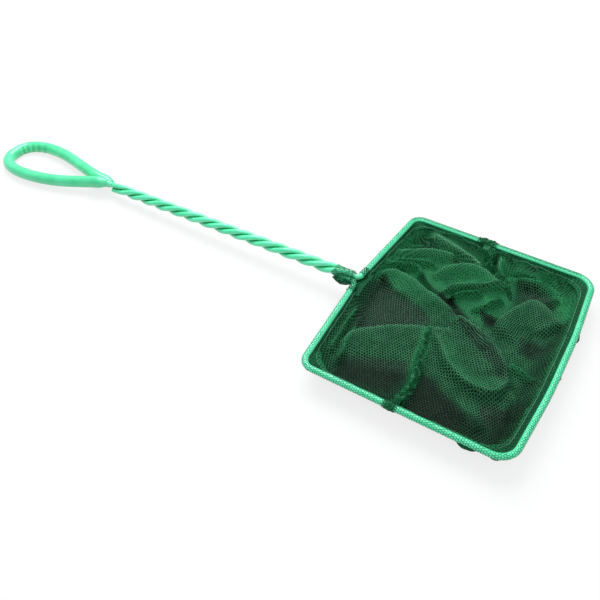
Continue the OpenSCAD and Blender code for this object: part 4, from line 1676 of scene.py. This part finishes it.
    def surface(self, places: np.ndarray) -> tuple[np.ndarray, np.ndarray]:
        """Works out where the upper net lies.

        Args:
            places: Places in plan.

        Returns:
            The points of the net, and how densely it lies at each.
        """
        x, y = places.T
        mound = np.sum(((places - self.mound) / self.mound_r) ** 2, axis=1)
        total = (self.mound_z * np.exp(-mound)) ** self.blend
        shift = np.zeros_like(places)
        crowded = (smooth((y - self.crowd[1]) / self.crowd_edges[1])
                   * smooth((self.crowd[0] - x) / self.crowd_edges[0]))
        cover = self.loose_cover[0] + self.loose_cover[1] * crowded
        for fold in self.folds:
            height, lean, dense = fold.lie(places)
            total += height ** self.blend
            shift += lean
            cover = np.maximum(cover, dense)
        wall = self.wall(places)
        calm = np.clip(1 - wall * 2, 0, 1)
        height = total ** (1 / self.blend) + sum(waves.at(x, y) for waves in self.fine) * calm
        z = self.floor_z + np.maximum(height, 0.0)
        z = np.minimum(z + (self.rim_z - z) * wall, self.rim_z + 0.6)
        points = np.column_stack([places + shift * calm[:, None], z])
        return points, np.clip(cover * left_over(self.patches, places), 0.0, 1.0)

    def cloth_uv(self, grid: np.ndarray) -> np.ndarray:
        """Lays the net's own measure on its folded surface.

        Args:
            grid: Points of the surface as an array of rows and columns.

        Returns:
            Distance along the cloth in the two directions at each point.
        """
        laid = []
        for axis in (1, 0):
            kept = grid[:, :, [1 - axis, 2]]
            steps = np.linalg.norm(np.diff(kept, axis=axis), axis=2)
            run = np.insert(np.cumsum(steps, axis=axis), 0, 0.0, axis=axis)
            run -= np.take(run, [run.shape[axis] // 2], axis=axis)
            spare = run - grid[:, :, 1 - axis]
            for _ in range(self.uv_calm):
                padded = np.pad(spare, 1, mode="edge")
                spare = (padded[:-2, 1:-1] + padded[2:, 1:-1] + padded[1:-1, :-2]
                         + padded[1:-1, 2:]) / 4
            laid.append(grid[:, :, 1 - axis] + spare)
        return np.stack(laid, axis=-1)

    def upper(self, material: bpy.types.Material) -> None:
        """Makes the two panels of the folded upper net from one grid.

        Args:
            material: The net's material.
        """
        kept: dict[str, np.ndarray] = {}

        def place(u: np.ndarray, v: np.ndarray) -> np.ndarray:
            places = self.plan(u, v)
            kept["column"], kept["row"] = (
                np.rint(share * cells).astype(int) for share, cells in zip((u, v), self.cells))
            kept["places"] = places
            kept["points"], kept["cover"] = self.surface(places)
            return kept["points"]

        whole = grid_object("net_whole", *self.cells, place)
        places = kept["places"]
        # Painted shade from the shade patches, and painted highlights along the folds' crests.
        set_attributes(whole, cover=kept["cover"], dim=1 - left_over(self.dims, places),
                       pulled=strongest(self.pulls, places),
                       crest=np.max([fold.crest(places) for fold in self.folds if fold.light],
                                    axis=0))
        spot = (kept["row"], kept["column"])
        grid = np.zeros((self.cells[1] + 1, self.cells[0] + 1, 3))
        grid[spot] = kept["points"]
        corner = np.zeros(len(whole.data.loops), int)
        whole.data.loops.foreach_get("vertex_index", corner)
        laid = self.cloth_uv(grid)[spot][corner]
        whole.data.uv_layers["cloth"].data.foreach_set("uv", laid.ravel())
        for near in (True, False):
            end = "handle_side" if near else "far_side"
            panel = shown(f"net_panel_{end}", whole.data.copy())
            self.keep_half(panel, near)
            finish_piece(panel, material, Slot.NET, f"net_{end}")
        bpy.data.objects.remove(whole)

    def keep_half(self, panel: bpy.types.Object, near: bool) -> None:
        """Cuts a copy of the whole net down to one panel.

        Args:
            panel: The copy.
            near: Whether the panel is the one on the handle side.
        """
        bm = bmesh.new()
        bm.from_mesh(panel.data)
        off = shift_x()
        others = []
        for face in bm.faces:
            middle = face.calc_center_median() / MM
            if (middle.x - off < self.seam_line(middle.y)) != near:
                others.append(face)
        bmesh.ops.delete(bm, geom=others, context="FACES")
        bm.to_mesh(panel.data)
        bm.free()

    def seam_line(self, y: float) -> float:
        """Where the two panels meet at y."""
        middle, width, depth = self.seam_bow
        drift = (y / self.sizes.half - middle) / width
        return self.sizes.seam_x + depth * self.sizes.hoop_l * math.exp(-drift * drift)

    def under(self, material: bpy.types.Material) -> None:
        """Makes the layers that lie on the table below the folds.

        Args:
            material: Their material.
        """
        outer = Bag(rim_insets=(self.under_inset,) * 4, corner_rs=self.under_rs)
        mean_z, least_z = self.under_z
        gap, rim_rise = self.under_gap
        kept: dict[str, np.ndarray] = {}

        def place(u: np.ndarray, v: np.ndarray) -> np.ndarray:
            places = outer.plan(u, v)
            fall = (1 - np.clip(outer.inside(places) / self.under_w, 0, 1)) ** 1.5
            z = mean_z + self.under_waves.at(*places.T)
            z = z + (self.rim_z - 0.4 - z) * fall
            above, kept["cover"] = self.surface(places)
            kept["places"] = places
            top = np.maximum(above[:, 2] - gap + rim_rise * smooth(fall / 0.4), least_z)
            return np.column_stack([places, np.clip(z, least_z, top)])

        obj = grid_object("net_underlayers", *self.under_cells, place, self.under_uv)
        # Painted shade from the shade patches on the lower layers.
        set_attributes(obj, cover=kept["cover"], dim=1 - left_over(self.dims, kept["places"]),
                       pale=strongest(self.pales, kept["places"]))
        finish_piece(obj, material, Slot.NET)


# Side seams, neck and loose net


@dataclass
class SideSeam:
    """A side seam: the net gathered round the wire, and the ragged strip sewn down the bag.

    Args:
        side: Side of the hoop.
        bag: The bag that it is sewn to.
        centre: Where along the hoop the gathered cover sits.
        cover_l: Length of the cover.
        line: Places along the strip, from the wire into the bag.
        widths: Half width of the strip at those places.
        swell: How much the gathers swell the cover.
        ridge: Height of the strip's middle above the net.
        hem_z: Height at which the strip runs over the hem.
    """

    side: Side
    bag: Bag
    centre: float
    cover_l: float
    line: tuple[Spot, ...]
    widths: tuple[float, ...]
    swell: float
    ridge: float = 1.5
    hem_z: float = 13.6

    @property
    def label(self) -> str:
        """Word for its side in the pieces' names."""
        return self.side.name.lower()

    def cover(self, material: bpy.types.Material) -> None:
        """Makes the gathered cover round the wire.

        Args:
            material: Its material.
        """
        z = self.bag.sizes
        ends = (self.centre - self.cover_l / 2, self.centre + self.cover_l / 2)
        path = Path(np.array([[x, z.half * self.side.value, z.hoop_z]
                              for x in np.linspace(*ends, 40)]))
        gathers = Crumple(0.55, 1.6, 4.0 * self.side.value)

        def radius(s: np.ndarray, angle: np.ndarray) -> np.ndarray:
            swell = self.swell * np.sin(np.pi * np.clip(s / path.length, 0.02, 0.98)) ** 0.5
            return (z.wire_r + 0.3 + swell * (0.75 + 0.9 * gathers.at(s, angle))
                    + 0.12 * np.sin(s * 2.1))

        obj = tube(f"seam_cover_{self.label}", path, radius, 32, 0.3, ends=False)
        away = np.abs(mesh_points(obj)[:, 0] - shift_x() - self.centre) / (self.cover_l / 2)
        set_attributes(obj, cover=1.0 - 0.55 * smooth((away - 0.3) / 0.6))
        finish_piece(obj, material, Slot.SEAM, f"side_seam_{self.label}")

    def strip(self, material: bpy.types.Material) -> None:
        """Makes the doubled strip of net along the seam, with its ragged edges.

        Args:
            material: Its material.
        """
        path = Path(soft_line(self.line))
        marks = np.linspace(0.0, 1.0, len(self.widths))
        crumples = Waves((0.5, 0.5), 2.2)

        def place(u: np.ndarray, v: np.ndarray) -> np.ndarray:
            s, side = v * path.length, 2 * u - 1
            along = path.heading(s, 1.5)
            across = np.column_stack([-along[:, 1], along[:, 0]])
            ragged = rough(s * 0.45, 9.0 * np.sign(side), 3.0 * self.side.value)
            half = np.interp(v, marks, self.widths) * (1 + 0.65 * ragged * np.abs(side))
            places = path.at(s) + across * (half * side)[:, None]
            net, _ = self.bag.surface(places)
            crumple = crumples.at(*places.T)
            ridge = self.ridge * (1 - np.abs(side) ** 1.6) * (0.7 + 0.8 * crumple)
            depth = self.bag.sizes.half - np.abs(places[:, 1])
            on_hem = 1 - smooth((depth - 6.5) / 3.0)
            height = net[:, 2] + 0.35
            height = height + (np.maximum(self.hem_z, height) - height) * on_hem
            return np.column_stack([places, height + ridge + 0.2 * crumple])

        obj = grid_object(f"seam_strip_{self.label}", 16, int(path.length / 0.5), place,
                          (9.0, path.length))
        x, y, _ = mesh_points(obj).T
        patchy = rough(x * 0.42, y * 0.42, 0.0)
        set_attributes(obj, cover=np.clip(0.75 + 0.6 * patchy, 0.0, 1.0),
                       crest=np.clip(0.9 * patchy - 0.1, 0.0, 0.5))
        finish_piece(obj, material, Slot.SEAM, f"side_seam_{self.label}")

    def build(self, material: bpy.types.Material) -> None:
        """Makes the cover and the strip."""
        self.cover(material)
        self.strip(material)


@dataclass
class Neck:
    """The net at the neck: the tongue round the twist, its arms, and the flap between them.

    Args:
        handle: The handle that the tongue is wrapped round.
        wrap_l: Length of the wrap on the twist.
        wrap_start: Where the wrap starts along the twist.
        wrap_turn: Angle round the axis at which it starts, in degrees.
        turns: Turns that the tongue makes, with its loose end.
        sag: How far the wrap hangs away from the strands.
        sag_turn: Angle round the axis at which it hangs away, in degrees.
        arm_starts: Where the arms begin on the two bends, left and right.
        arm_end: Distance from the middle at which the arms end on the hem.
        flap_half: Half the width of the flap.
        flap_l: Length of the flap along the handle.
        flap_back: How far it starts behind the wire.
    """

    handle: Handle
    wrap_l: float = 11.5
    wrap_start: float = -1.2
    wrap_turn: float = -70.0
    turns: float = 1.06
    sag: float = 2.2
    sag_turn: float = 235.0
    arm_starts: Spot = (6.2, 1.0)
    arm_end: float = 11.0
    flap_half: float = 10.0
    flap_l: float = 7.0
    flap_back: float = 1.6

    def wrap(self, material: bpy.types.Material) -> None:
        """Makes the tongue wrapped round the strands.

        Args:
            material: Its material.
        """
        z = self.handle.sizes
        starts = np.radians(np.array(list(self.handle.starts.values())))
        kept: dict[str, np.ndarray] = {}

        def place(u: np.ndarray, v: np.ndarray) -> np.ndarray:
            angle = math.radians(self.wrap_turn) + u * self.turns * TAU
            ragged = rough(1.3 * angle, 0.0, np.where(v > 0.5, 3.0, 8.0))
            s = (self.wrap_start + (self.wrap_l - self.wrap_start) * v
                 + 2.2 * ragged * np.abs(2 * v - 1) ** 3)
            lay = math.radians(z.lay_turn) * self.handle.eased(np.maximum(s, 0.0), True)
            lay = lay / (z.twist_l - z.ease_l)
            reach = np.max(np.cos(angle[:, None] - starts[None, :] - lay[:, None]), axis=1)
            crumple = rough(2.2 * np.cos(angle), 2.2 * np.sin(angle), s * 0.45)
            kept["sag"] = np.maximum(np.cos(angle - math.radians(self.sag_turn)), 0.0)
            kept["patchy"] = rough(u * 26.0, v * 9.0, 4.4)
            r = z.ring_r * reach + z.wire_r + 0.15 + 0.3 * (1 + crumple) + 0.3 * u
            r = r + self.sag * kept["sag"] ** 2 * np.sin(np.pi * np.clip(v, 0, 1)) ** 0.8
            axis = self.handle.axis_height(np.maximum(s, 0.0))
            return np.column_stack([z.twist_x - s, r * np.cos(angle), axis + r * np.sin(angle)])

        obj = grid_object("neck_tongue_wrap", 110, 40, place, (34.0, 13.0))
        sag, patchy = kept["sag"], kept["patchy"]
        # Painted shade where the wrap sags away from the strands, less in its lighter patches.
        set_attributes(obj, cover=np.maximum(np.clip(0.3 + 0.7 * patchy, 0.0, 1.0),
                                             0.68 * smooth(sag * 1.4)),
                       dim=np.clip(0.3 * sag - 0.9 * patchy, 0.0, 0.5),
                       crest=np.clip(1.2 * patchy, 0.0, 0.6))
        finish_piece(obj, material, Slot.NET, "neck_tongue")

    def arm(self, side: Side, material: bpy.types.Material) -> None:
        """Makes the net round one bend of the wire.

        Args:
            side: Side of the bend.
            material: Its material.
        """
        z = self.handle.sizes
        sign = side.value
        corner = (z.neck_corner[0], z.neck_corner[1] * sign)
        end = (-z.neck_out * (1 - self.arm_end / z.half), self.arm_end * sign)
        whole = rounded_path([((z.twist_x - 1.0, z.pair_half * sign), 0.0), (corner, z.neck_r),
                              (end, 0.0)], z.hoop_z)
        start = self.arm_starts[0 if side is Side.LEFT else 1]
        path = Path(whole.at(np.linspace(start, whole.length, 60)))
        crumple = Crumple(0.5, 1.4, sign)

        def radius(s: np.ndarray, angle: np.ndarray) -> np.ndarray:
            return z.wire_r + 0.42 + 0.45 * np.maximum(crumple.at(s, angle), -0.5)

        obj = tube(f"neck_arm_{side.name.lower()}", path, radius, 26, 0.35, ends=False)
        set_attributes(obj, cover=0.5)
        finish_piece(obj, material, Slot.NET, "neck_tongue")

    def flap(self, material: bpy.types.Material) -> None:
        """Makes the piece of flange that spans the neck between the hem's two runs.

        Args:
            material: Its material.
        """
        z = self.handle.sizes
        crumples = Waves((0.3, 0.3), 6.1, 0.5)

        def place(u: np.ndarray, v: np.ndarray) -> np.ndarray:
            y = self.flap_half * (2 * v - 1)
            x = -z.neck_out * (1 - np.abs(y) / z.half) - self.flap_back + self.flap_l * u
            return np.column_stack([x, y, z.hoop_z - 2.4 + 0.5 * smooth(u * 2)
                                    + crumples.at(x, y)])

        obj = grid_object("neck_flap", 20, 44, place, (8.0, 20.0))
        # Painted shade on the flap across the neck.
        set_attributes(obj, cover=0.8, dim=0.3)
        finish_piece(obj, material, Slot.NET, "hem_handle_side")

    def build(self, tongue: bpy.types.Material, flange: bpy.types.Material) -> None:
        """Makes the wrap, the arms and the flap."""
        self.wrap(flange)
        for side in Side:
            self.arm(side, tongue)
        self.flap(flange)


@dataclass(frozen=True)
class Puff:
    """Slack net that bulges out from under the hoop.

    Args:
        name: Name of the piece.
        start: One end along the hoop's edge, in the net frame.
        end: The other end.
        out: How far it bulges past the wire's centre line.
        height: Height of its outer edge.
        back: How far inside that line its two long edges lie.
        half_z: Half the height of the bulge.
    """

    name: str
    start: Spot
    end: Spot
    out: float
    height: float
    back: float = 4.5
    half_z: float = 2.6

    def build(self, material: bpy.types.Material) -> None:
        """Makes the bulge as a sheet from under the wire, out and back in.

        Args:
            material: Its material.
        """
        a, b = np.array(self.start), np.array(self.end)
        length = float(np.linalg.norm(b - a))
        along = (b - a) / length
        outward = np.array([along[1], -along[0]])

        def place(u: np.ndarray, v: np.ndarray) -> np.ndarray:
            arc = np.radians(-80 + 160 * u)
            swell = np.sin(np.pi * np.clip(v, 0, 1)) ** 0.7
            crumple = rough(v * length * 0.35, 2.0 * u, self.out)
            reach = ((self.out + self.back) * swell * np.cos(arc) * (1 + 0.05 * crumple)
                     - self.back)
            z = self.height + self.half_z * np.sin(arc) * swell * (1 + 0.1 * crumple)
            middle = a + along * (length * v)[:, None]
            return np.column_stack([middle + outward * reach[:, None], z])

        obj = grid_object(self.name, 24, max(12, int(length / 0.5)), place, (14.0, length))
        set_attributes(obj, cover=0.9)
        finish_piece(obj, material, Slot.NET)


SEAM_RIGHT_LINE = ((54, -73), (54.5, -67), (53, -58), (54, -50), (53, -40), (50.5, -30),
                   (48, -16), (46, -4))
SEAM_LEFT_LINE = ((50, 73), (53, 67), (57, 62), (62, 57), (68, 52), (74, 47), (78, 42))
PUFFS = (
    Puff("slack_left_a", (40.0, 73.0), (20.0, 73.0), 2.8, 11.0),
    Puff("slack_left_b", (68.0, 73.0), (57.0, 73.0), 2.3, 11.0),
    Puff("slack_far_a", (119.8, 16.0), (119.8, 34.0), 2.8, 10.6),
    Puff("slack_far_b", (119.8, -20.0), (119.8, 2.0), 2.4, 10.6),
    Puff("slack_right_a", (86.0, -73.0), (104.0, -73.0), 2.2, 10.8),
    Puff("slack_right_b", (103.0, -73.0), (116.0, -69.0), 2.2, 10.8),
)


def main() -> None:
    """Builds every piece of the net and its studio, in order."""
    logging.basicConfig(level=logging.INFO, format="%(name)s %(message)s")
    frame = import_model()
    bpy.context.scene.view_settings.view_transform = "Standard"
    Studio().build()

    # The third colour of each plastic finish is the painted shade in its grooves and wrinkles.
    coat = PlasticFinish("mint_coat", srgb(104, 248, 192), srgb(84, 238, 176),
                         srgb(0, 178, 104), 0.34, 0.8, 900.0, 0.00008).material()
    sleeve = PlasticFinish("mint_sleeve", srgb(94, 240, 178), srgb(76, 226, 160),
                           srgb(0, 188, 108), 0.36, 0.7, 700.0, 0.0001).material()
    steel = SteelFinish().material()
    for name, obj in frame["nodes"].items():
        obj.data.materials.clear()
        obj.data.materials.append(steel if name.endswith("core") else coat)

    handle = Handle()
    handle.build(coat, sleeve)

    hem_net = MeshFinish("hem_net", srgb(28, 130, 78), srgb(38, 178, 122), srgb(12, 90, 52),
                         (srgb(20, 96, 60), srgb(4, 32, 18)), srgb(12, 80, 46), 0.35, pitch=1.5,
                         open_r=0.44, dense_r=0.36).material()
    seam_net = MeshFinish("seam_net", srgb(32, 132, 80), srgb(22, 104, 60), srgb(6, 46, 26),
                          (srgb(6, 38, 22),) * 2, srgb(12, 76, 44), 0.5, pitch=1.45,
                          open_r=0.38, dense_r=0.35).material()
    thread = ThreadFinish("stitch_thread", srgb(112, 172, 132), srgb(60, 124, 86)).material()
    hem = Hem()
    runs = (("left_of_neck", Side.LEFT, "handle_side"),
            ("right_of_neck", Side.RIGHT, "handle_side"), ("far", None, "far_side"))
    for name, side, end in runs:
        hem.run(f"hem_{name}", side, hem_net, f"hem_{end}")
    for name, side, end in runs:
        hem.stitching(f"stitches_{name}", side, thread, f"hem_thread_{end}")

    net = MeshFinish("bag_net", srgb(46, 148, 91), srgb(72, 110, 89), srgb(9, 76, 43),
                     (srgb(6, 30, 18), srgb(4, 33, 18)), srgb(26, 114, 67), 0.35, pitch=1.7,
                     open_r=0.42, dense_r=0.35).material()
    # The lower layers are painted dark with their shade, and the grey behind their open holes is
    # the table's painted shadow.
    under = MeshFinish("net_underlayers", srgb(6, 46, 24), srgb(16, 34, 25), srgb(3, 22, 12),
                       (srgb(24, 25, 26), srgb(4, 24, 13)), srgb(6, 40, 22), 0.0, pitch=1.75,
                       open_r=0.42).material()
    bag = Bag()
    bag.upper(net)
    bag.under(under)
    SideSeam(Side.RIGHT, bag, 53.0, 8.0, SEAM_RIGHT_LINE,
             (2.0, 3.0, 2.9, 2.6, 2.3, 2.0, 2.0, 1.2), 0.5).build(seam_net)
    SideSeam(Side.LEFT, bag, 50.0, 13.0, SEAM_LEFT_LINE,
             (3.0, 3.6, 3.0, 2.2, 1.8, 1.4, 0.8), 1.0).build(seam_net)
    Neck(handle).build(seam_net, hem_net)
    for puff in PUFFS:
        puff.build(seam_net)


if __name__ == "__main__":
    main()
